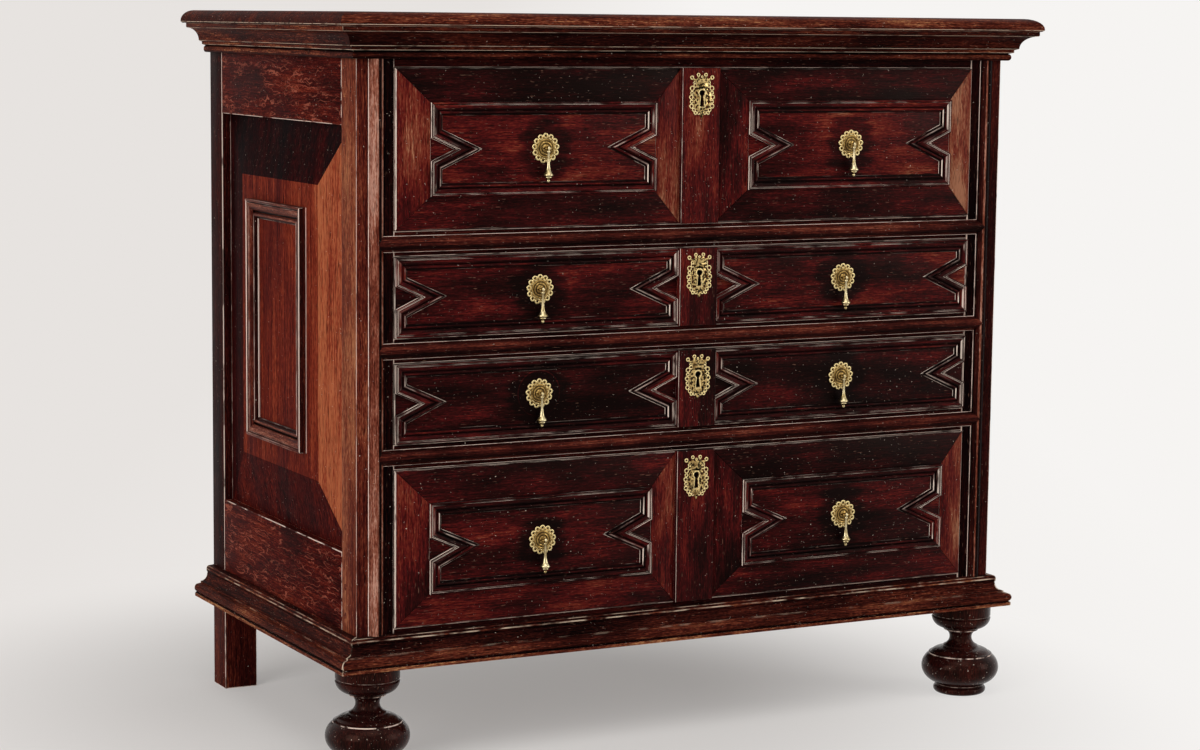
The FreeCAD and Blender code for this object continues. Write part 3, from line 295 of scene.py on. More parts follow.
def dryOak(name, look):
    material, tree, shader = startMaterial(name)
    place = addNode(tree, "TexCoord").outputs["Object"]
    run = addNode(tree, "Mapping", {"Scale": look["scale"]}, {"Vector": place})
    grain = addNode(tree, "TexNoise", {"Scale": 1.0, "Detail": 4}, {"Vector": run})
    finer = [side * dryGrain["finer"] for side in look["scale"]]
    fine = addNode(tree, "Mapping", {"Scale": finer}, {"Vector": place})
    fine = addNode(tree, "TexNoise", {"Scale": 1.0, "Detail": 1}, {"Vector": fine})
    dirt = addNode(tree, "TexNoise", {"Scale": dryGrain["dirt"], "Detail": 4}, {"Vector": place})
    paint = addNode(tree, "ValToRGB", {"stops": look["ramp"]}, {0: grain}).outputs["Color"]
    for pattern, part in ((fine, "pores"), (dirt, "grime")):
        span, share, colour = dryGrain[part]
        cover = addNode(tree, "MapRange", {"span": span, "gives": (0, share)}, {"Value": pattern})
        paint = addNode(tree, "Mix", {"data_type": "RGBA", over: linear(colour)}, {0: cover, under: paint})
        paint = paint.outputs[mixed]
    dust = addNode(tree, "MapRange", {"gives": dryGrain["roughness"]}, {"Value": dirt})
    bump = {"Strength": dryGrain["relief"], "Distance": dryGrain["reliefDepth"] * mm}
    relief = addNode(tree, "Bump", bump, {"Height": grain})
    surface = {"Base Color": paint, "Roughness": dust, "Normal": relief}
    setNode(tree, shader, {"Specular IOR Level": dryGrain["sheen"]}, surface)
    return material


dry = {name: dryOak(name, look) for name, look in dryLooks.items()}

# Cast brass: pale gold on the curls, which are rubbed, and brown in the hollows. Rosettes and plates are
# chased all over, drawn coarser than life; the drops are turned and smooth. Blotches and chasing in mm.
brassLooks = {
    "chasedBrass": {
        "rubbed": "#dcc68f", "bright": "#c4a970", "unlitSide": "#7d6035", "tarnish": "#150e08",
        "blotch": 7, "chasing": 2.7, "cut": 0.95, "relief": 0.7, "roughness": (0.2, 0.42),
    },
    "rosetteBrass": {
        "rubbed": "#d2bd88", "bright": "#ac8c50", "unlitSide": "#775b31", "tarnish": "#1e150c",
        "blotch": 8, "chasing": 2.2, "cut": 0.5, "relief": 0.4, "roughness": (0.22, 0.42),
    },
    "turnedBrass": {
        "rubbed": "#d6c69c", "bright": "#d6c69c", "unlitSide": "#96804f", "tarnish": "#2c2014",
        "blotch": 9, "chasing": 3.0, "cut": 0.12, "relief": 0.05, "roughness": (0.16, 0.32),
    },
}
brassWear = {
    "hollow": (0.44, 0.52), "cutSpan": (0.49, 0.57), "cutLeft": 0.2, "cutDepth": 0.4,
    "polishSpan": (0.3, 0.7),
}


def castBrass(name, look):
    material, tree, shader = startMaterial(name)
    place = addNode(tree, "TexCoord").outputs["Object"]
    blotch = addNode(tree, "TexNoise", {"Scale": 1000 / look["blotch"], "Detail": 4}, {"Vector": place})
    chasing = addNode(tree, "TexNoise", {"Scale": 1000 / look["chasing"], "Detail": 1}, {"Vector": place})
    rubbed = addNode(tree, "Attribute", {"attribute_name": "wear"}).outputs["Fac"]
    hollow = addNode(tree, "NewGeometry").outputs["Pointiness"]
    raised = addNode(tree, "MapRange", {"span": brassWear["hollow"]}, {"Value": hollow})
    depth = {"gives": (look["cut"], look["cut"] * brassWear["cutLeft"])}
    depth = addNode(tree, "MapRange", depth, {"Value": rubbed})
    cut = addNode(tree, "MapRange", {"span": brassWear["cutSpan"]}, {"Value": chasing})
    cut = addNode(tree, "Math", {"operation": "MULTIPLY"}, {0: cut, 1: depth})
    paint = [(0.3, look["unlitSide"]), (0.6, look["bright"])]
    paint = addNode(tree, "ValToRGB", {"stops": paint}, {0: blotch}).outputs["Color"]
    for share, part in ((rubbed, "rubbed"), (cut, "tarnish")):
        colour = linear(look[part])
        paint = addNode(tree, "Mix", {"data_type": "RGBA", over: colour}, {0: share, under: paint})
        paint = paint.outputs[mixed]
    sunk = linear(look["tarnish"])
    paint = addNode(tree, "Mix", {"data_type": "RGBA", under: sunk}, {0: raised, over: paint})
    polish = {"span": brassWear["polishSpan"], "gives": reversed(look["roughness"])}
    polish = addNode(tree, "MapRange", polish, {"Value": blotch})
    relief = addNode(tree, "Math", {"operation": "MULTIPLY", 1: -1.0}, {0: cut})
    bump = {"Strength": look["relief"], "Distance": brassWear["cutDepth"] * mm}
    relief = addNode(tree, "Bump", bump, {"Height": relief})
    surface = {"Base Color": paint.outputs[mixed], "Roughness": polish, "Normal": relief}
    setNode(tree, shader, {"Metallic": 1.0}, surface)
    return material


brass = {name: castBrass(name, look) for name, look in brassLooks.items()}

# Forged iron: dark, with hammer marks and a little rust. Sizes of the marks and spots in mm.
ironLook = {
    "dark": "#1d1a18", "light": "#3a3430", "rust": "#4a2a18", "hammer": 7, "rustSize": 3,
    "rustSpan": (0.55, 0.7), "rustShare": 0.8,
    "roughness": (0.45, 0.75), "relief": 0.3, "reliefDepth": 0.5, "metallic": 0.85,
}


def forgedIron(name, look):
    material, tree, shader = startMaterial(name)
    place = addNode(tree, "TexCoord").outputs["Object"]
    marks = addNode(tree, "TexNoise", {"Scale": 1000 / look["hammer"], "Detail": 3}, {"Vector": place})
    rust = addNode(tree, "TexNoise", {"Scale": 1000 / look["rustSize"], "Detail": 4}, {"Vector": place})
    paint = [(0.35, look["dark"]), (0.65, look["light"])]
    paint = addNode(tree, "ValToRGB", {"stops": paint}, {0: marks}).outputs["Color"]
    spots = {"span": look["rustSpan"], "gives": (0, look["rustShare"])}
    spots = addNode(tree, "MapRange", spots, {"Value": rust})
    paint = addNode(tree, "Mix", {"data_type": "RGBA", over: linear(look["rust"])}, {0: spots, under: paint})
    polish = addNode(tree, "MapRange", {"gives": look["roughness"]}, {"Value": rust})
    bump = {"Strength": look["relief"], "Distance": look["reliefDepth"] * mm}
    relief = addNode(tree, "Bump", bump, {"Height": marks})
    surface = {"Base Color": paint.outputs[mixed], "Roughness": polish, "Normal": relief}
    setNode(tree, shader, {"Metallic": look["metallic"]}, surface)
    return material


iron = forgedIron("forgedIron", ironLook)
print("materials made")


def islands(bm):  # the separate boards in a mesh, always in the same order
    seen = set()
    for first in bm.verts:
        if first in seen:
            continue
        seen.add(first)
        group = [first]
        for vert in group:  # grows as it goes
            for link in vert.link_edges:
                other = link.other_vert(vert)
                if other not in seen:
                    seen.add(other)
                    group.append(other)
        yield group


arrisAngles = {"sharp": 38, "flat": 1, "curved": 32, "crease": 40}  # turns in degrees
weld = {"copy": 0.02, "turned": 0.002, "plate": 0.001}  # corners closer than this, in mm, become one
oneFlat = 0.4  # faces that turn less than this, in degrees, become one


def soften(bm, width, shortest=0):
    # rounds the outer arrises, marks them for the pale line of wear and painted highlight, and shades the
    # curved faces smooth; lengths in mm
    sharp, flat, curved, crease = (math.radians(angle) for angle in arrisAngles.values())
    worn = bm.faces.layers.float.get("wear") or bm.faces.layers.float.new("wear")
    arrises = [
        edge for edge in bm.edges
        if len(edge.link_faces) == 2 and edge.is_convex
        and edge.calc_face_angle() > sharp and edge.calc_length() > shortest * mm
    ]
    made = bmesh.ops.bevel(
        bm, geom=arrises, offset=width * mm, offset_type="OFFSET", affect="EDGES",
        segments=2, profile=0.5, material=-1, clamp_overlap=True,
    )
    strip = set(made["faces"])
    for face in strip:
        face[worn] = 1.0
    for face in bm.faces:
        turns = [edge.calc_face_angle() for edge in face.edges if len(edge.link_faces) == 2]
        face.smooth = face in strip or any(flat < turn < curved for turn in turns)
    for edge in bm.edges:
        if len(edge.link_faces) == 2 and edge.calc_face_angle() > crease:
            edge.smooth = False


def layGrain(bm, along, toneOf, byLength=False):
    # each board gets its own length of grain, and each face its tone: depth of stain, and on some faces
    # painted highlight and painted shade
    board = bm.verts.layers.float_vector.get("board") or bm.verts.layers.float_vector.new("board")
    tone = bm.faces.layers.float.get("tone") or bm.faces.layers.float.new("tone")
    along = Vector(along).normalized()
    across = along.orthogonal().normalized()
    if abs(along.x) + abs(along.y) + abs(along.z) < 1.001:  # a board that lies square in the case
        across = Vector((along.y, along.z, along.x))
    ways = (along, across, along.cross(across))
    for group in islands(bm):
        start = Vector([dice.uniform(0, grainReach) for way in range(3)])
        reach = {way: [vert.co.dot(ways[way]) for vert in group] for way in range(3)}
        order = range(3)
        if byLength:  # the longest way of this board comes first
            order = sorted(order, key=lambda way: min(reach[way]) - max(reach[way]))
        for number, vert in enumerate(group):
            vert[board] = start + Vector([reach[way][number] for way in order])
    for face in bm.faces:
        face[tone] += toneOf(face) if callable(toneOf) else toneOf


def joinInto(target, bm):
    mesh = bpy.data.meshes.new("board")
    bm.to_mesh(mesh)
    bm.free()
    target.from_mesh(mesh)
    bpy.data.meshes.remove(mesh)


def newPiece():
    bm = bmesh.new()
    bm.verts.layers.float_vector.new("board")
    bm.faces.layers.float.new("tone")
    bm.faces.layers.float.new("wear")
    return bm


def finishPiece(name, bm, material, body, slot, *replaced):
    mesh = bpy.data.meshes.new(name)
    bm.to_mesh(mesh)
    bm.free()
    mesh.materials.append(material)
    piece = bpy.data.objects.new(name, mesh)
    scene.collection.objects.link(piece)
    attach(piece, body)
    if replaced:
        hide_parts(*replaced)


def copyOf(node):
    bm = bmesh.new()
    bm.from_mesh(nodes[node].data)
    bmesh.ops.remove_doubles(bm, verts=bm.verts, dist=weld["copy"] * mm)
    bmesh.ops.dissolve_limit(
        bm, angle_limit=math.radians(oneFlat), verts=bm.verts, edges=bm.edges,
        use_dissolve_boundaries=False, delimit={"NORMAL"},
    )
    return bm


def scribeAcross(bm, place, normal):  # a line across the faces, where the stain changes
    bmesh.ops.bisect_plane(bm, geom=bm.verts[:] + bm.edges[:] + bm.faces[:], plane_co=place, plane_no=normal)


axis = {"x": (1, 0, 0), "y": (0, 1, 0), "z": (0, 0, 1)}
facing = {
    "front": (0, -1, 0), "back": (0, 1, 0), "left": (-1, 0, 0), "right": (1, 0, 0),
    "top": (0, 0, 1), "bottom": (0, 0, -1), "upperFront": (0, -0.8, 0.6),
}
# case boards: grain, worn arris in mm, and how light the stain is: on faces that look a given way,
# by how squarely they do, on the front inside a distance in mm from the middle, and below a height in mm;
# on the half-round and rail mouldings and inside the front stiles these tones are painted highlight and
# painted shade
rearStile = {"grain": "z", "arris": 1.4, "tone": 0.34, "below": (125, 0.56)}
sideRails = {"grain": "y", "arris": 1.0, "tone": 0.51, "oak": "fleckedOak"}
sidePanel = {
    "grain": "z", "arris": 0.9, "tone": 0.68, "oak": "sidePanelOak",
    "faces": [("front", 0.1, 0.94), ("back", 0.1, 0.3), ("top", 0.1, 0.2), ("bottom", 0.1, 0.46)],
}
frontRail = {"grain": "x", "arris": 0.9, "tone": 0.3}
caseBoards = {
    "top_board": {
        "grain": "x", "arris": 0.9, "tone": 0.46, "oak": "wornOakMoulding",
        "faces": [("front", 0.3, 0.6), ("left", 0.3, 0.42), ("right", 0.3, 0.42)],
    },
    # on the front stiles, the front face between the half-round and the drawers is painted near black, a
    # painted shade
    "front_stile_left": {
        "grain": "z", "arris": 1.3, "tone": 0.36, "inside": (445, 0.12),
        "faces": [("left", 0.9, 0.81), ("front", 0.9, 0.65)],
    },
    "front_stile_right": {
        "grain": "z", "arris": 1.3, "tone": 0.36, "inside": (445, 0.12),
        "faces": [("right", 0.9, 0.81), ("front", 0.9, 0.46)],
    },
    "rear_stile_left": rearStile, "rear_stile_right": rearStile,
    "side_rails_left": sideRails, "side_rails_right": sideRails,
    "side_panel_left": sidePanel, "side_panel_right": sidePanel,
    "front_top_rail": frontRail, "drawer_rails": frontRail, "front_bottom_rail": frontRail,
    # the half-round mouldings are painted lightest on the crest and the faces turned left and darkest on the
    # flank turned right, painted highlight and painted shade
    "stile_mouldings": {
        "grain": "z", "arris": 0.6, "tone": 0.12, "oak": "stainedOakMoulding", "unlitSide": "right",
        "faces": [("left", -0.1, 0.82)], "rightHand": [("left", 0.55, 0.4), ("left", 0.15, 0.84)],
    },
    # the rail mouldings are painted lighter on the upper front, a painted highlight, and darker underneath, a
    # painted shade
    "rail_mouldings": {
        "grain": "x", "arris": 0.5, "tone": 0.42, "oak": "stainedOakMoulding",
        "faces": [("bottom", 0.35, 0.22), ("upperFront", 0.96, 0.56)],
    },
    "back_frame": {"grain": "x", "byLength": True, "arris": 1.2, "tone": 0.4},
}
slotOf = {
    "stainedOakFrame": "oak_frame", "fleckedOak": "oak_frame", "sidePanelOak": "oak_panel",
    "stainedOakMoulding": "oak_moulding", "wornOakMoulding": "oak_moulding",
}
shortestArris = {"board": 8, "peg": 30, "moulding": 4, "drawerFront": 30}  # shorter edges stay as they are


def toneByFace(look):
    def tone(face):
        centre = face.calc_center_median()
        if "inside" in look and face.normal.y < -0.9 and abs(centre.x) < look["inside"][0] * mm:
            return look["inside"][1]
        if "below" in look and centre.z < look["below"][0] * mm:
            return look["below"][1]
        rightHand = "rightHand" in look and centre.x > 0
        for way, least, value in look.get("rightHand" if rightHand else "faces", ()):
            if face.normal.dot(Vector(facing[way])) > least:
                return value
        return look["tone"]
    return tone


for node, look in caseBoards.items():
    bm = copyOf(node)
    if "inside" in look:
        for sign in (-1, 1):
            scribeAcross(bm, (sign * look["inside"][0] * mm, 0, 0), axis["x"])
    if "below" in look:
        scribeAcross(bm, (0, 0, look["below"][0] * mm), axis["z"])
    soften(bm, look["arris"], shortestArris["board"])
    if "unlitSide" in look:  # arrises turned to this side get no pale line, a painted shade
        worn = bm.faces.layers.float.get("wear")
        for face in bm.faces:
            face[worn] *= face.normal.dot(Vector(facing[look["unlitSide"]])) < 0.1
    layGrain(bm, axis[look["grain"]], toneByFace(look), look.get("byLength", False))
    finish = look.get("oak", "stainedOakFrame")
    finishPiece("oak_" + node, bm, oak[finish], "case", slotOf[finish], node)

# oak pegs, planed flush with the frame and stained with it
pegLook = {"arris": 0.15, "rear": 0.44, "frontSide": 0.74, "front": 0.5}


def pegTone(face):
    if face.calc_center_median().y > 0:
        return pegLook["rear"]
    return pegLook["frontSide" if abs(face.normal.x) > 0.7 else "front"]


bm = copyOf("joint_pegs")
soften(bm, pegLook["arris"], shortestArris["peg"])
layGrain(bm, axis["x"], pegTone)
finishPiece("oak_joint_pegs", bm, oak["stainedOakFrame"], "case", "oak_frame", "joint_pegs")
print("case boards made")


def arcPoints(centre, radii, start, end, count):
    points = []
    for step in range(count + 1):
        turn = math.radians(start + (end - start) * step / count)
        points.append((centre[0] + radii[0] * math.cos(turn), centre[1] + radii[1] * math.sin(turn)))
    return points


def ringPoints(centre, radii, count):
    return arcPoints(centre, radii, 0, 360 - 360 / count, count - 1)


def bandAt(bands, share):
    for limit, *band in bands:
        if share <= limit:
            return band


def cutLength(look, section, start, end, out, up, cuts, bandOf, rub):
    # a length of moulding: its section drawn out along the run, from one saw cut to the other
    bm = bmesh.new()
    run = (end - start).normalized()
    strip = look.get("mitreStrip", 0) * mm  # a mitre that has opened is rubbed light on both sides
    inner = [(point - normal * strip, normal) for point, normal in cuts] if strip else []
    last = bm.faces.new([bm.verts.new(start + (out * wide + up * high) * mm) for wide, high in section])
    for count, (point, normal) in enumerate(cuts[:1] + inner + cuts[1:]):
        if count:
            drawn = bmesh.ops.extrude_face_region(bm, geom=[last, *last.edges])["geom"]
            last = next(item for item in drawn if isinstance(item, bmesh.types.BMFace))
        for vert in last.verts:  # slides along the run to the cut
            vert.co += run * ((point - vert.co).dot(normal) / run.dot(normal))
    bm.normal_update()
    bmesh.ops.recalc_face_normals(bm, faces=bm.faces)
    soften(bm, look["arris"], shortestArris["moulding"])
    worn = bm.faces.layers.float.get("wear")
    tone = bm.faces.layers.float.new("tone")
    for face in bm.faces:  # the quirks are darkened, dirt and painted shade, and the high members get pale lines, wear and painted highlight
        centre = face.calc_center_median()
        shade, rubbed, edges = bandOf((centre - start).dot(out) / mm, (centre - start).dot(up) / mm)
        face[tone] = shade
        if abs(face.normal.dot(run)) > 0.2:  # mitres close up and rub less
            rubbed, edges = 0.0, edges * look["mitreRub"]
        if any(-strip < (centre - point).dot(normal) < -0.01 * mm for point, normal in cuts):
            rubbed = look["stripRub"]
        face[worn] = min(1.0, max(face[worn] * edges, rubbed) * rub)
    return bm


flankDepth = 0.05  # mm from the outer edge of a section


def mitredFrame(target, path, up, look, toneOf, rubOf):
    # lengths of moulding round a closed path, each mitred into the next
    section = [(across * look["wide"], rise * look["rise"]) for across, rise in look["section"]]

    def bandOf(wide, high):  # by height on the outer flank, and inwards over the rest
        if wide < flankDepth:
            return bandAt(look["flank"], high / look["rise"])
        return bandAt(look["bands"], wide / look["wide"])

    count = len(path)
    runs = [(path[(turn + 1) % count] - path[turn]).normalized() for turn in range(count)]
    for turn, run in enumerate(runs):
        start, end = path[turn], path[(turn + 1) % count]
        first = (runs[turn - 1] + run).normalized()
        last = (run + runs[(turn + 1) % count]).normalized()
        cuts = [(start + first * look["gap"] * mm, -first), (end - last * look["gap"] * mm, last)]
        out = run.cross(up)
        bm = cutLength(look, section, start, end, out, up, cuts, bandOf, rubOf(run, out))
        layGrain(bm, run, toneOf(run, out))
        joinInto(target, bm)


frameRubAndGlint = {"upright": 1.0, "level": 0.3}  # the upright lengths get the strongest pale lines: wear, and a painted highlight where the side light catches them


def uprightsRubAndGlint(run, out):
    return frameRubAndGlint["upright" if abs(run.z) > 0.5 else "level"]


# cornice and base: three lengths each, mitred at the front corners; the reach differs at front and sides
# sections are in shares of reach and height; bands run up them: share of the height, shift of the stain
# (darker in the quirks and coves, dirt and painted shade), how rubbed, and how rubbed on an arris (pale lines
# of wear and painted highlight)
corniceLook = {
    "frontReach": 40.05, "sideReach": 33.82, "height": 39, "arris": 1.1, "gap": 0.1, "mitreRub": 0.6,
    "tone": {"front": 0.42, "side": 0.56}, "rub": {"front": 1.0, "side": 0.9},
    "section": [(0, 0)] + arcPoints((0.18, 0.115), (0.09, 0.115), -90, 90, 8) + [(0.34, 0.27), (0.34, 0.36)]
    + arcPoints((0.97, 0.4), (0.5, 0.44), 180, 90, 10) + [(1, 0.88), (1, 1), (0, 1)],
    "bands": [(0.06, -0.2, 0, 1), (0.14, 0.06, 0.05, 1), (0.17, 0.1, 0.5, 1), (0.2, 0, 0, 1),
              (0.26, -0.35, 0, 1), (0.37, 0.02, 0, 1), (0.84, -0.08, 0, 1), (1.1, 0.06, 0.05, 1)],
}
baseLook = {
    "frontReach": 21.5, "sideReach": 28, "height": 42, "arris": 1.0, "gap": 0.1, "mitreRub": 1.0,
    "mitreStrip": 0.9, "stripRub": 0.7,
    "tone": {"front": 0.52, "side": 0.62}, "rub": {"front": 0.9, "side": 0.8},
    "section": [(0, 0), (0.97, 0), (0.97, 0.1), (0.9, 0.14)]
    + arcPoints((0.84, 0.27), (0.16, 0.13), -90, 90, 10) + [(0.68, 0.42)]
    + arcPoints((0.68, 0.72), (0.34, 0.24), -90, -180, 8)
    + arcPoints((0.26, 0.86), (0.11, 0.12), -60, 90, 8) + [(0, 1)],
    "bands": [(0.1, 0.2, 0.1, 1), (0.16, -0.4, 0, 1), (0.41, 0, 0, 1), (0.47, -0.05, 0.3, 1),
              (0.74, -0.22, 0, 1), (0.85, -0.3, 0, 1), (0.88, 0.05, 0.5, 1), (0.96, -0.2, 0, 1),
              (0.97, 0, 0.4, 1), (1.1, -0.25, 0, 1)],
}


def wrapCase(name, node, look):
    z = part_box(node)[0].z
    left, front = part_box("front_stile_left")[0].xy
    right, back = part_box("front_stile_right")[1].x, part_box("rear_stile_left")[1].y
    path = [Vector((x, y, z)) for x, y in ((left, back), (left, front), (right, front), (right, back))]
    square = Vector(facing["back"])
    leftMitre = Vector((look["frontReach"], -look["sideReach"], 0)).normalized()  # square to the saw cut
    rightMitre = Vector((-look["frontReach"], -look["sideReach"], 0)).normalized()
    leftGap, rightGap = leftMitre * look["gap"] * mm, rightMitre * look["gap"] * mm
    lengths = [
        ("side", "left", [(path[0], square), (path[1] - leftGap, leftMitre)]),
        ("front", "front", [(path[1] + leftGap, -leftMitre), (path[2] + rightGap, -rightMitre)]),
        ("side", "right", [(path[2] - rightGap, rightMitre), (path[3], square)]),
    ]
    target = newPiece()
    for start, end, (place, way, cuts) in zip(path, path[1:], lengths):
        reach, height = look[place + "Reach"], look["height"]
        section = [(across * reach, rise * height) for across, rise in look["section"]]
        bm = cutLength(
            look, section, start, end, Vector(facing[way]), Vector(axis["z"]), cuts,
            lambda wide, high: bandAt(look["bands"], high / height), look["rub"][place],
        )
        layGrain(bm, end - start, look["tone"][place])
        joinInto(target, bm)
    finishPiece(name, target, oak["wornOakMoulding"], "case", "oak_moulding", node)


wrapCase("oak_cornice", "cornice", corniceLook)
wrapCase("oak_base_moulding", "base_moulding", baseLook)
print("cornice and base made")

# applied frame on each side panel: section in shares of width and rise; the flank's bands run up it, and
# the others run inwards; the middle of the flank is darkened, a painted shadow; the quirks and the inner edge
# are darkened, dirt and painted shade; the foot of the flank, the ovolo's crest and the inner bead get pale
# lines of wear and painted highlight, strongest on the uprights
sideFrame = {
    "wide": 25, "rise": 11, "arris": 0.9, "gap": 0.12, "mitreRub": 0.45, "tone": 0.58,
    "section": [(0, 0), (0, 0.15), (0, 0.5), (0, 1), (0.14, 1), (0.15, 0.74), (0.18, 0.74)]
    + arcPoints((0.19, 0.34), (0.4, 0.54), 90, 0, 8) + [(0.61, 0.2), (0.66, 0.2)]
    + arcPoints((0.8, 0.28), (0.12, 0.32), 180, 0, 8) + [(0.93, 0.2), (1, 0.2), (1, 0)],
    "flank": [(0.15, 0, 0.6, 1), (0.5, -0.55, 0, 1), (1.1, -0.12, 0, 1)],
    "bands": [(0.004, -0.4, 0, 1), (0.15, 0, 0.08, 1), (0.2, -0.5, 0, 1), (0.3, 0.06, 0.12, 1),
              (0.42, 0.14, 0.3, 1), (0.58, 0.02, 0, 1), (0.67, -0.5, 0, 1), (0.74, 0, 0, 1),
              (0.84, 0.1, 0.4, 1), (1.1, -0.25, 0, 1)],
}
for side in ("left", "right"):
    node = "side_moulding_" + side
    low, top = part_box(node)
    seat = top.x if side == "left" else low.x
    path = [(low.y, top.z), (top.y, top.z), (top.y, low.z), (low.y, low.z)]
    path = [Vector((seat, y, z)) for y, z in (path if side == "right" else reversed(path))]
    up = Vector(facing[side])
    target = newPiece()
    mitredFrame(target, path, up, sideFrame, lambda run, out: sideFrame["tone"], uprightsRubAndGlint)
    finishPiece("oak_" + node, target, oak["sideFrameOak"], "case", "oak_moulding", node)
print("side mouldings made")


def turnOnLathe(bm, points, centre, spinAxis, steps, closed=False):
    line = [bm.verts.new(point) for point in points]
    edges = [bm.edges.new(pair) for pair in zip(line, line[1:] + line[:1] if closed else line[1:])]
    bmesh.ops.spin(
        bm, geom=line + edges, cent=centre, axis=spinAxis, angle=math.tau, steps=steps, use_merge=True,
    )


def shadeRound(bm, angle):
    bmesh.ops.remove_doubles(bm, verts=bm.verts, dist=weld["turned"] * mm)
    bmesh.ops.recalc_face_normals(bm, faces=bm.faces)
    for face in bm.faces:
        face.smooth = True
    for edge in bm.edges:
        edge.smooth = edge.calc_face_angle(0) < math.radians(angle)


# turned front feet: radius and height up from the floor, in mm; the incised rings are painted pale all round,
# wear and a painted highlight
footTurning = {
    "tone": 0.3, "steps": 72, "crease": 34, "ringRubAndGlint": 0.55,
    "rings": [(11.2, 12.4), (54.2, 55.6), (88.1, 89.4), (108.6, 109.6)],
    "profile": [(0, 0), (30.6, 0)]
    + arcPoints((30.6, 5.6), (5.4, 5.6), -80, 0, 5) + arcPoints((31.5, 5.8), (4.5, 4.4), 15, 80, 4)
    + [(31.6, 11.2), (33.2, 12.4)]
    + arcPoints((24, 36.5), (29, 24.2), -68, 42, 16) + [(43.6, 54.2), (43.4, 55.6), (41.8, 56.6)]
    + arcPoints((24.5, 51.5), (18, 11.5), 28, 80, 6) + [(23.6, 64.2)]
    + arcPoints((29.5, 77.6), (14.3, 12.4), 245, 140, 12)
    + [(19.4, 87.8), (23.5, 88.0), (24.2, 89.4), (24.0, 90.6)]
    + arcPoints((22.6, 107), (17.9, 16.2), -80, -4, 8)
    + [(38.9, 107.4), (38.8, 108.6), (40.4, 109.6), (40.5, 125), (12, 125), (12, 151), (0, 151)],
}
for side in ("left", "right"):
    node = "turned_foot_" + side
    low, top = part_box(node)
    centre = Vector(((low.x + top.x) / 2, (low.y + top.y) / 2, low.z))
    bm = newPiece()
    section = [centre + Vector((radius, 0, height)) * mm for radius, height in footTurning["profile"]]
    turnOnLathe(bm, section, centre, axis["z"], footTurning["steps"])
    shadeRound(bm, footTurning["crease"])
    worn = bm.faces.layers.float.get("wear")
    for face in bm.faces:
        height = (face.calc_center_median().z - low.z) / mm
        if any(start < height < end for start, end in footTurning["rings"]):
            face[worn] = footTurning["ringRubAndGlint"]
    layGrain(bm, axis["z"], footTurning["tone"])
    finishPiece("oak_" + node, bm, oak["turnedOak"], "case", "oak_moulding", node)
print("feet made")

# drawer fronts: sizes in mm; tones for each half run field, then left, right, top and bottom bevel; the bevel
# tones are painted highlight and painted shade by the way each bevel faces, lightest on the right bevels and
# darkest on the top ones
frontTones = {
    1: {
        "muntin": 0.51, "bead": 0.37,
        "left": (0.55, 0.61, 0.7, 0.14, 0.27), "right": (0.54, 0.43, 0.96, 0.2, 0.32),
    },
    2: {"muntin": 0.4, "bead": 0.35, "left": (0.38,), "right": (0.47,)},
    3: {"muntin": 0.33, "bead": 0.3, "left": (0.22,), "right": (0.2,)},
    4: {
        "muntin": 0.36, "bead": 0.33,
        "left": (0.38, 0.52, 0.62, 0.26, 0.44), "right": (0.32, 0.36, 0.74, 0.15, 0.4),
    },
}
# the black strip behind the keyhole and the near-black walls of the muntin's keyhole are painted shade
frontBoard = {"arris": 0.8, "keyDrop": 31, "keyStrip": 20}  # the strip behind the keyhole is dark
muntinLook = {
    "wide": 53, "thick": 9, "arris": 0.8, "keyhole": (4.6, 4.4, 7.0, 17.6), "inKeyhole": 0.05, "holeRub": 0.2,
}
# bevel boards: the outer flank, the drawer's edge, gets a pale line of wear and painted highlight, strongest
# on the uprights
bevelLook = {
    "wide": 41, "rise": 14, "arris": 0.9, "gap": 0.12, "mitreRub": 0.45,
    "field": 12.5, "fieldGap": 0.1, "fieldArris": 0.4,
    "section": [(0, 0), (0, 3 / 14), (1, 1), (1, 0)], "flank": [(1.1, 0, 0.8, 1)],
    "bands": [(0.487, 0, 0, 1), (1.1, 0, 0, 0.15)],
}
# beads: the outer wall and lower flank are darkened, a painted shade; the quirks and the inner edge are
# darkened, dirt and painted shade; the upper flank and the crests get pale lines of wear and painted
# highlight
beadLook = {
    "wide": 16, "rise": 5, "arris": 0.5, "gap": 0.12, "mitreRub": 0.45, "mouth": 28, "notch": 31,
    "uprightTone": 0.1, "rub": {"least": 0.46, "facesLeft": 1.5, "other": 0.7, "steep": 1.4},
    "section": [(0, 0), (0, 0.5), (0, 1), (0.13, 1), (0.145, 0.66), (0.185, 0.66)]
    + arcPoints((0.19, 0.36), (0.38, 0.5), 90, 0, 7) + [(0.6, 0.22), (0.64, 0.22)]
    + arcPoints((0.76, 0.3), (0.11, 0.4), 180, 0, 7) + [(0.89, 0.16), (1, 0.16), (1, 0)],
    "flank": [(0.5, -0.2, 0, 0.5), (1.1, -0.1, 0.8, 0.5)],
    "bands": [(0.004, -0.2, 0, 0.5), (0.06, -0.15, 0, 0.2), (0.15, 0, 0, 0.8), (0.195, -0.45, 0, 1),
              (0.3, 0, 0, 1), (0.42, 0.04, 0.25, 1), (0.56, -0.1, 0, 1), (0.644, -0.45, 0, 1),
              (0.72, -0.1, 0, 1), (0.82, 0.04, 0.4, 1), (1.1, -0.3, 0, 0.6)],
}
outward = Vector(facing["front"])


def plank(target, low, top, arris, along, tone):
    bm = bmesh.new()
    bmesh.ops.create_cube(bm, size=1.0)
    bmesh.ops.scale(bm, vec=top - low, verts=bm.verts)
    bmesh.ops.translate(bm, vec=(low + top) / 2, verts=bm.verts)
    soften(bm, arris)
    layGrain(bm, along, tone)
    joinInto(target, bm)


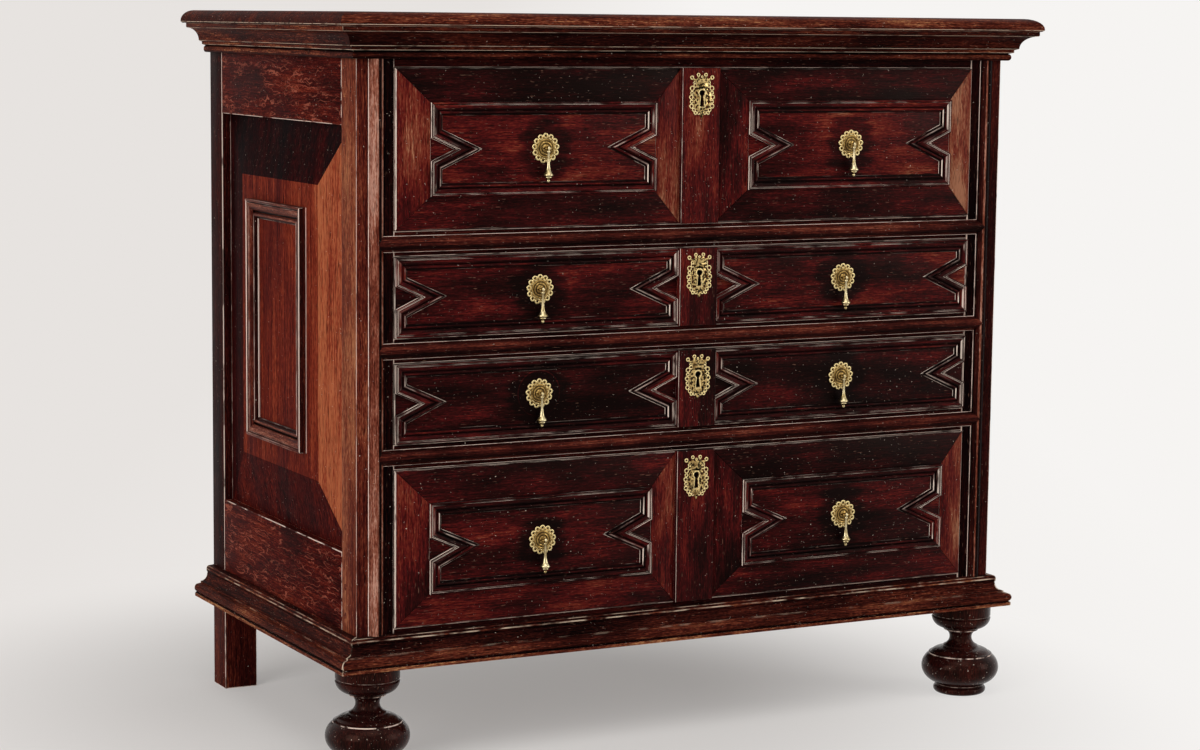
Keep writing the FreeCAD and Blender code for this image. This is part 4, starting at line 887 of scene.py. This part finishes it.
def keyholePoints(z, radius, neck, foot, length):  # a round hole with a flared slot below it
    turn = math.degrees(math.asin(neck / 2 / radius))
    points = arcPoints((0, z), (radius, radius), -90 + turn, 270 - turn, 24)
    return points + [(-foot / 2, z - length), (foot / 2, z - length)]


def meshOfCurve(curve, loops):  # draws closed lines in a curve, and gives its mesh in its place
    for loop in loops:
        spline = curve.splines.new("POLY")
        spline.points.add(len(loop) - 1)
        for point, place in zip(spline.points, loop):
            point.co = (*place, 1)
        spline.use_cyclic_u = True
    drawn = bpy.data.objects.new(curve.name, curve)
    mesh = bpy.data.meshes.new_from_object(drawn)
    bm = bmesh.new()
    bm.from_mesh(mesh)
    bpy.data.objects.remove(drawn)
    bpy.data.curves.remove(curve)
    bpy.data.meshes.remove(mesh)
    return bm


def cutPlate(name, loops, depth, rim):
    # a flat plate with holes, cut out as a flat curve and made a mesh standing upright, face to the front
    curve = bpy.data.curves.new(name, "CURVE")
    curve.dimensions = "2D"
    curve.fill_mode = "BOTH"
    curve.extrude = (depth / 2 - rim) * mm
    curve.bevel_depth = rim * mm
    curve.bevel_resolution = 1
    bm = meshOfCurve(curve, [[(x * mm, z * mm, 0) for x, z in loop] for loop in loops])
    bmesh.ops.remove_doubles(bm, verts=bm.verts, dist=weld["plate"] * mm)
    bmesh.ops.rotate(bm, verts=bm.verts, cent=(0, 0, 0), matrix=Matrix.Rotation(math.pi / 2, 3, "X"))
    return bm


def makeFront(name, tones):
    strip = frontBoard["keyStrip"] * mm

    # behind the keyhole the board is painted black, a painted shade
    def boardTone(face):
        x = face.calc_center_median().x
        return tones["left" if x < 0 else "right"][0] if abs(x) > strip else 0.0

    bm = copyOf(name + "_front")
    for x in (-strip, strip):
        scribeAcross(bm, (x, 0, 0), axis["x"])
    soften(bm, frontBoard["arris"], shortestArris["drawerFront"])
    layGrain(bm, axis["x"], boardTone)
    finishPiece("oak_" + name + "_front", bm, oak["stainedOakPanel"], name, "oak_panel", name + "_front")


def addMuntin(target, low, top, tone):
    strip = frontBoard["keyStrip"] * mm
    half, foot, head = muntinLook["wide"] / 2, low.z / mm, top.z / mm
    outline = [(-half, foot), (half, foot), (half, head), (-half, head)]
    keyhole = keyholePoints(head - frontBoard["keyDrop"], *muntinLook["keyhole"])
    bm = cutPlate("muntin", [outline, keyhole], muntinLook["thick"], muntinLook["arris"])
    bmesh.ops.translate(bm, verts=bm.verts, vec=(0, low.y - muntinLook["thick"] / 2 * mm, 0))
    bmesh.ops.recalc_face_normals(bm, faces=bm.faces)

    def outside(face):  # away from the keyhole
        return abs(face.calc_center_median().x) > strip

    worn = bm.faces.layers.float.new("wear")
    for face in bm.faces:
        face.smooth = max(abs(part) for part in face.normal) <= 0.99
        if face.smooth:
            face[worn] = 1.0 if abs(face.normal.x) > 0.5 and outside(face) else muntinLook["holeRub"]
    # the keyhole's walls are painted near black, a painted shade
    inKeyhole = muntinLook["inKeyhole"]
    layGrain(bm, axis["z"], lambda face: tone if face.normal.y < -0.9 or outside(face) else inKeyhole)
    joinInto(target, bm)


def addBevels(target, middle, halfWide, halfHigh, shades):
    # four mitred bevel boards round a raised field
    field, left, right, top, bottom = shades

    # each bevel board is toned by the way it faces: painted highlight and painted shade
    def bevelTone(run, out):
        if abs(out.x) > 0.5:
            return left if out.x > 0 else right
        return top if out.z < 0 else bottom

    corners = [(-1, 1), (1, 1), (1, -1), (-1, -1)]
    path = [middle + Vector((x * halfWide, 0, z * halfHigh)) for x, z in corners]
    mitredFrame(target, path, outward, bevelLook, bevelTone, uprightsRubAndGlint)
    inset = (bevelLook["wide"] + bevelLook["fieldGap"]) * mm
    reach = Vector((halfWide - inset, 0, halfHigh - inset))
    raised = outward * bevelLook["field"] * mm
    plank(target, middle - reach + raised, middle + reach, bevelLook["fieldArris"], axis["x"], field)


def addBeads(target, middle, halfWide, halfHigh, tone):
    # a mitred moulding with a pointed notch in each end, clockwise from the front
    mouth = beadLook["mouth"] / 2 * mm
    tip = halfWide - beadLook["notch"] * mm
    end = [(halfWide, halfHigh), (halfWide, mouth), (tip, 0), (halfWide, -mouth), (halfWide, -halfHigh)]
    path = [middle + Vector((x, 0, z)) for x, z in end + [(-x, -z) for x, z in end]]
    rub = beadLook["rub"]

    def beadTone(run, out):
        return tone + beadLook["uprightTone"] * abs(run.z)

    # pale lines strongest on the lengths whose profile faces left and on the steep ones: wear, and a painted
    # highlight where the side light catches them
    def beadRubAndGlint(run, out):
        most = rub["facesLeft" if out.x < -0.9 else "other"]
        return rub["least"] + most * min(1.0, abs(run.z) * rub["steep"])

    mitredFrame(target, path, outward, beadLook, beadTone, beadRubAndGlint)


for number, tones in frontTones.items():
    name = "drawer_" + str(number)
    makeFront(name, tones)
    low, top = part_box(name + "_front")
    target = newPiece()
    addMuntin(target, low, top, tones["muntin"])
    for half, sign in (("left", -1), ("right", 1)):
        inner, outer = sign * muntinLook["wide"] / 2 * mm, sign * top.x
        middle = Vector(((inner + outer) / 2, low.y, (low.z + top.z) / 2))
        halfWide, halfHigh = abs(outer - inner) / 2, (top.z - low.z) / 2
        if len(tones[half]) > 1:  # a deep drawer
            addBevels(target, middle, halfWide, halfHigh, tones[half])
            halfWide -= bevelLook["wide"] * mm
            halfHigh -= bevelLook["wide"] * mm
            middle = middle + outward * bevelLook["field"] * mm
        addBeads(target, middle, halfWide, halfHigh, tones["bead"])
    node = name + "_facing"
    finishPiece("oak_" + node, target, oak["stainedOakPanel"], name, "oak_panel", node)
print("drawer fronts made")

# brass pulls: rosette as radius and height off the wood, drop as radius and height from its staple, in mm
pullLook = {
    "steps": 72, "dropSteps": 32, "eyeSteps": 28, "pivotDrop": 3.4, "stapleDepth": 15,
    "curls": 13, "curlTurn": 0.25, "curlReach": 15.2, "curlRise": 1.0, "curl": (3.9, 1.25),
    "eyeRadius": 2.32, "eyeWire": (1.08, 1.728), "eyePoints": 12,
    "crease": {"rosette": 60, "drop": 55, "staple": 50},
    "rosette": [
        (0, 3.9), (2.6, 3.9), (4.6, 3.4), (5.2, 2.3), (6.2, 2.2), (6.9, 3.1), (7.8, 3.1), (8.5, 2.1),
        (9.6, 2.0), (10.4, 2.9), (11.4, 2.9), (12.2, 1.8), (13.0, 1.7), (13.8, 2.2), (14.5, 2.0),
        (14.9, 1.2), (15.0, 0.1), (14.7, 0.0), (0, 0.0),
    ],
    "drop": [
        (0, -2.4), (1.9, -2.5), (2.5, -3.4), (2.5, -4.6), (1.7, -5.4), (1.6, -7), (1.65, -13), (1.85, -18),
        (2.3, -22.4), (3.1, -26), (4.4, -29), (5.9, -31.2), (6.5, -32.2), (6.6, -33.0), (6.2, -33.8),
        (4.9, -34.3), (4.6, -35.0), (4.9, -35.7), (4.3, -36.5), (2.8, -37.1), (1.6, -37.5), (1.4, -38.0),
        (2.0, -38.5), (2.35, -39.5), (2.1, -40.7), (1.3, -41.6), (0.6, -41.95), (0, -42),
    ],
}
curlLook = {"flatter": 0.85, "points": 8, "steps": 20, "crease": 80}


def rubBright(bm):
    worn = bm.faces.layers.float.new("wear")
    for face in bm.faces:
        face[worn] = 1.0


def curl(target, centre, radius, wire):
    # a small cast ring that faces the front
    bm = bmesh.new()
    ring = ringPoints((radius - wire, 0), (wire, wire * curlLook["flatter"]), curlLook["points"])
    section = [centre + Vector((reach, out, 0)) * mm for reach, out in ring]
    turnOnLathe(bm, section, centre, axis["y"], curlLook["steps"], closed=True)
    shadeRound(bm, curlLook["crease"])
    rubBright(bm)
    joinInto(target, bm)


def addRosette(target, seat):
    bm = bmesh.new()
    section = [seat + Vector((radius, -rise, 0)) * mm for radius, rise in pullLook["rosette"]]
    turnOnLathe(bm, section, seat, axis["y"], pullLook["steps"])
    shadeRound(bm, pullLook["crease"]["rosette"])
    joinInto(target, bm)
    reach, rise = pullLook["curlReach"], pullLook["curlRise"]
    for step in range(pullLook["curls"]):  # pierced and lobed rim
        turn = math.tau * (step + pullLook["curlTurn"]) / pullLook["curls"]
        place = Vector((math.cos(turn) * reach, -rise, math.sin(turn) * reach))
        curl(target, seat + place * mm, *pullLook["curl"])


def makeDrop(name, side, pivot):
    bm = bmesh.new()
    section = [pivot + Vector((radius, 0, height)) * mm for radius, height in pullLook["drop"]]
    turnOnLathe(bm, section, pivot, axis["z"], pullLook["dropSteps"])
    ring = ringPoints((pullLook["eyeRadius"], 0), pullLook["eyeWire"], pullLook["eyePoints"])
    eye = [pivot + Vector((place, 0, radius)) * mm for radius, place in ring]
    turnOnLathe(bm, eye, pivot, axis["x"], pullLook["eyeSteps"], closed=True)
    shadeRound(bm, pullLook["crease"]["drop"])
    node = name + "_drop_" + side
    finishPiece("brass_" + node, bm, brass["turnedBrass"], name + "_" + side + "_drop", "brass", node)


for number, tones in frontTones.items():
    name = "drawer_" + str(number)
    node = name + "_pull_plates"
    plates = newPiece()
    staples = bmesh.new()
    staples.from_mesh(nodes[node].data)
    bmesh.ops.remove_doubles(staples, verts=staples.verts, dist=weld["copy"] * mm)
    for group in list(islands(staples)):  # the wire staples are kept as they are, and the rosettes made anew
        depths = [vert.co.y for vert in group]
        if max(depths) - min(depths) < pullLook["stapleDepth"] * mm:
            bmesh.ops.delete(staples, geom=group, context="VERTS")
    shadeRound(staples, pullLook["crease"]["staple"])
    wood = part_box(name + "_front")[0].y
    if len(tones["left"]) > 1:  # the pulls of a deep drawer sit on its raised field
        wood -= bevelLook["field"] * mm
    for side in ("left", "right"):
        low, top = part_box(name + "_drop_" + side)
        pivot = Vector(((low.x + top.x) / 2, (low.y + top.y) / 2, top.z - pullLook["pivotDrop"] * mm))
        addRosette(plates, Vector((pivot.x, wood, pivot.z)))
        makeDrop(name, side, pivot)
    joinInto(plates, staples)
    finishPiece("brass_" + node, plates, brass["rosetteBrass"], name, "brass", node)
print("pulls made")

# pierced escutcheon, cast as a lace of curls round the keyhole, with a crown: places in mm from the keyhole
# holes and curls are given on the right; crown, neck and tail as their right half
plateLook = {
    "thick": 1.5, "edge": 0.3, "keyhole": (3.9, 3.5, 6.4, 16.9), "rim": (4.9, 5.4, 8.4, 18.0), "rimWire": 0.8,
    "body": (13.4, 16.6), "bodyDrop": -8.0, "bodyPoints": 60, "holePoints": 12, "crease": 50,
    "hole": (1.7, 2.2), "holes": [(8.6, 0.6), (9.9, -5.4), (9.7, -11.6), (7.6, -17.6)],
    "crownCurls": [
        (14.8, 19.6, 2.9, 0.85), (5.4, 23.1, 2.7, 0.85), (10.4, 13.2, 2.3, 0.75), (0, 20.4, 1.9, 0.7),
    ],
    "laceWire": 0.8,
    "lace": [
        (9.8, 9.6, 3.0), (14.4, 6.0, 3.5), (14.6, 0.2, 2.7), (15.6, -5.2, 3.3), (14.9, -11.0, 2.8),
        (15.0, -16.6, 3.3), (11.4, -21.2, 2.9), (9.2, -25.2, 2.6), (4.6, -25.0, 2.7),
    ],
    "crown": [
        (0, 12.4), (8.4, 12.4), (9.6, 14.6), (13.6, 17.4), (12.0, 18.6), (7.6, 17.4), (6.0, 20.8),
        (4.6, 20.8), (3.4, 17.9), (0, 18.8),
    ],
    "neck": [(0, 6), (7.6, 6), (8.6, 9.4), (8.2, 13), (0, 13)],
    "tail": [(0, -23.5), (3.6, -23.5), (1.6, -28.2), (0, -31.6)],
}


def flatCasting(target, loops, place):
    bm = cutPlate("casting", loops, plateLook["thick"], plateLook["edge"])
    bmesh.ops.translate(bm, verts=bm.verts, vec=place)
    shadeRound(bm, plateLook["crease"])
    joinInto(target, bm)


def keyholeRim(target, key):
    curve = bpy.data.curves.new("rim", "CURVE")
    curve.dimensions = "3D"
    curve.bevel_depth = plateLook["rimWire"] * mm
    curve.bevel_resolution = 2
    front = -plateLook["thick"] / 2
    line = [key + Vector((x, front, z)) * mm for x, z in keyholePoints(0, *plateLook["rim"])]
    bm = meshOfCurve(curve, [line])
    shadeRound(bm, curlLook["crease"])
    rubBright(bm)
    joinInto(target, bm)


for number in frontTones:
    name = "drawer_" + str(number)
    node = name + "_escutcheon"
    low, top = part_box(name + "_front")
    stand = muntinLook["thick"] + plateLook["thick"] / 2
    key = Vector((0, low.y - stand * mm, top.z - frontBoard["keyDrop"] * mm))
    plate = newPiece()
    outline = ringPoints((0, plateLook["bodyDrop"]), plateLook["body"], plateLook["bodyPoints"])
    loops = [outline, keyholePoints(0, *plateLook["keyhole"])]
    for x, z in plateLook["holes"]:
        loops += [ringPoints((side, z), plateLook["hole"], plateLook["holePoints"]) for side in (-x, x)]
    flatCasting(plate, loops, key)
    for part in ("crown", "neck", "tail"):
        half = plateLook[part]
        flatCasting(plate, [half + [(-x, z) for x, z in reversed(half) if x > 0]], key)
    lace = [(*place, plateLook["laceWire"]) for place in plateLook["lace"]]
    for x, z, radius, wire in plateLook["crownCurls"] + lace:
        for sign in (-1, 1) if x > 0 else (1,):
            curl(plate, key + Vector((sign * x, 0, z)) * mm, radius, wire)
    keyholeRim(plate, key)
    finishPiece("brass_" + node, plate, brass["chasedBrass"], name, "brass", node)
print("escutcheons made")

# nodes that stay as they are, with their own finish
finishOf = {"back_panels": dry["dryOakBack"], "drawer_runners": dry["dryOakDeep"]}
for number in frontTones:
    finishOf["drawer_" + str(number) + "_box"] = dry["dryOakDeep"]
    finishOf["drawer_" + str(number) + "_lock"] = iron
    finishOf["drawer_" + str(number) + "_bolt"] = iron
for node, material in finishOf.items():
    nodes[node].data.materials.clear()
    nodes[node].data.materials.append(material)
print("inside finished")

# pale sweep, painted a little lighter on the right, a painted light, and soft studio light; lengths in metres
stageLook = {
    "left": "#e7e3e0", "right": "#f6f4f2", "toRight": (0.887, -0.462, 0), "skyBlend": 0.04, "floorBlend": 1.0,
    "fill": 0.3, "paper": ("#e6e3e0", "#e9e6e3"), "fibre": 2.5, "roughness": 0.9,
    "reach": 30, "sides": 96, "middle": (-0.2, 0, 0), "near": 0.34, "fade": (0.3, 1.02),
}
lamps = {
    "leftSoftbox": {"place": (-3.2, -1.5, 1.7), "aim": (0, 0, 0.45), "size": (2.0, 2.2), "power": 54},
    "rightSoftbox": {"place": (3.0, -2.8, 1.6), "aim": (0, 0, 0.45), "size": (1.4, 2.0), "power": 34},
    "overhead": {"place": (-0.6, -1.8, 3.4), "aim": (0, 0, 0.4), "size": (2.6, 2.2), "power": 34},
}
for name, look in lamps.items():
    light = bpy.data.lights.new(name, "AREA")
    light.shape = "RECTANGLE"
    light.size, light.size_y = look["size"]
    light.energy = look["power"]
    lamp = bpy.data.objects.new(name, light)
    lamp.location = look["place"]
    lamp.rotation_euler = (Vector(look["aim"]) - Vector(look["place"])).to_track_quat("-Z", "Y").to_euler()
    scene.collection.objects.link(lamp)


def directlySeen(tree):  # 1 for what the camera sees, also in a gloss or through glass
    ray = addNode(tree, "LightPath").outputs
    seen = addNode(tree, "Math", {"operation": "MAXIMUM"}, {0: ray["Is Camera Ray"], 1: ray["Is Glossy Ray"]})
    return addNode(tree, "Math", {"operation": "MAXIMUM"}, {0: seen, 1: ray["Is Transmission Ray"]})


def sweepTint(tree, place, blend):  # from the left tint to the right one
    turn = addNode(tree, "VectorMath", {"operation": "DOT_PRODUCT", 1: stageLook["toRight"]}, {0: place})
    turn = addNode(tree, "MapRange", {"span": (-blend, blend)}, {"Value": turn.outputs["Value"]})
    tints = {under: linear(stageLook["left"]), over: linear(stageLook["right"])}
    return addNode(tree, "Mix", {"data_type": "RGBA", **tints}, {0: turn}).outputs[mixed]


world = bpy.data.worlds.new("sweep")
scene.world = world
world.use_nodes = True
tree = world.node_tree
level = addNode(tree, "MapRange", {"gives": (stageLook["fill"], 1)}, {"Value": directlySeen(tree)})
tint = sweepTint(tree, addNode(tree, "TexCoord").outputs["Generated"], stageLook["skyBlend"])
setNode(tree, tree.nodes["Background"], None, {"Color": tint, "Strength": level})

# Matt seamless paper: a faint fibre, fading into the backdrop away from the chest: to the camera the paper
# glows, a painted light, more the farther it lies from a point left of the chest's middle, so the cast shadow
# thins towards the right.
paper, tree, shader = startMaterial("palePaper")
place = addNode(tree, "TexCoord").outputs["Object"]
fibre = addNode(tree, "TexNoise", {"Scale": 1000 / stageLook["fibre"], "Detail": 2}, {"Vector": place})
dark, pale = (linear(colour) for colour in stageLook["paper"])
fibre = addNode(tree, "Mix", {"data_type": "RGBA", under: dark, over: pale}, {0: fibre}).outputs[mixed]
matt = {"Roughness": stageLook["roughness"], "Specular IOR Level": 0.0}
setNode(tree, shader, matt, {"Base Color": fibre})
glow = addNode(tree, "Emission", None, {"Color": sweepTint(tree, place, stageLook["floorBlend"])})
away = addNode(tree, "VectorMath", {"operation": "DISTANCE", 1: stageLook["middle"]}, {0: place})
fade = {"interpolation_type": "SMOOTHSTEP", "span": stageLook["fade"], "gives": (stageLook["near"], 1)}
fade = addNode(tree, "MapRange", fade, {"Value": away.outputs["Value"]})
fade = addNode(tree, "Math", {"operation": "MULTIPLY"}, {0: fade, 1: directlySeen(tree)})
blend = addNode(tree, "MixShader", None, {0: fade, 1: shader, 2: glow})
setNode(tree, tree.nodes["Material Output"], None, {"Surface": blend})
bm = bmesh.new()
bmesh.ops.create_circle(bm, cap_ends=True, segments=stageLook["sides"], radius=stageLook["reach"])
mesh = bpy.data.meshes.new("floor")
bm.to_mesh(mesh)
bm.free()
mesh.materials.append(paper)
floor = bpy.data.objects.new("floor", mesh)
scene.collection.objects.link(floor)
print("stage set")
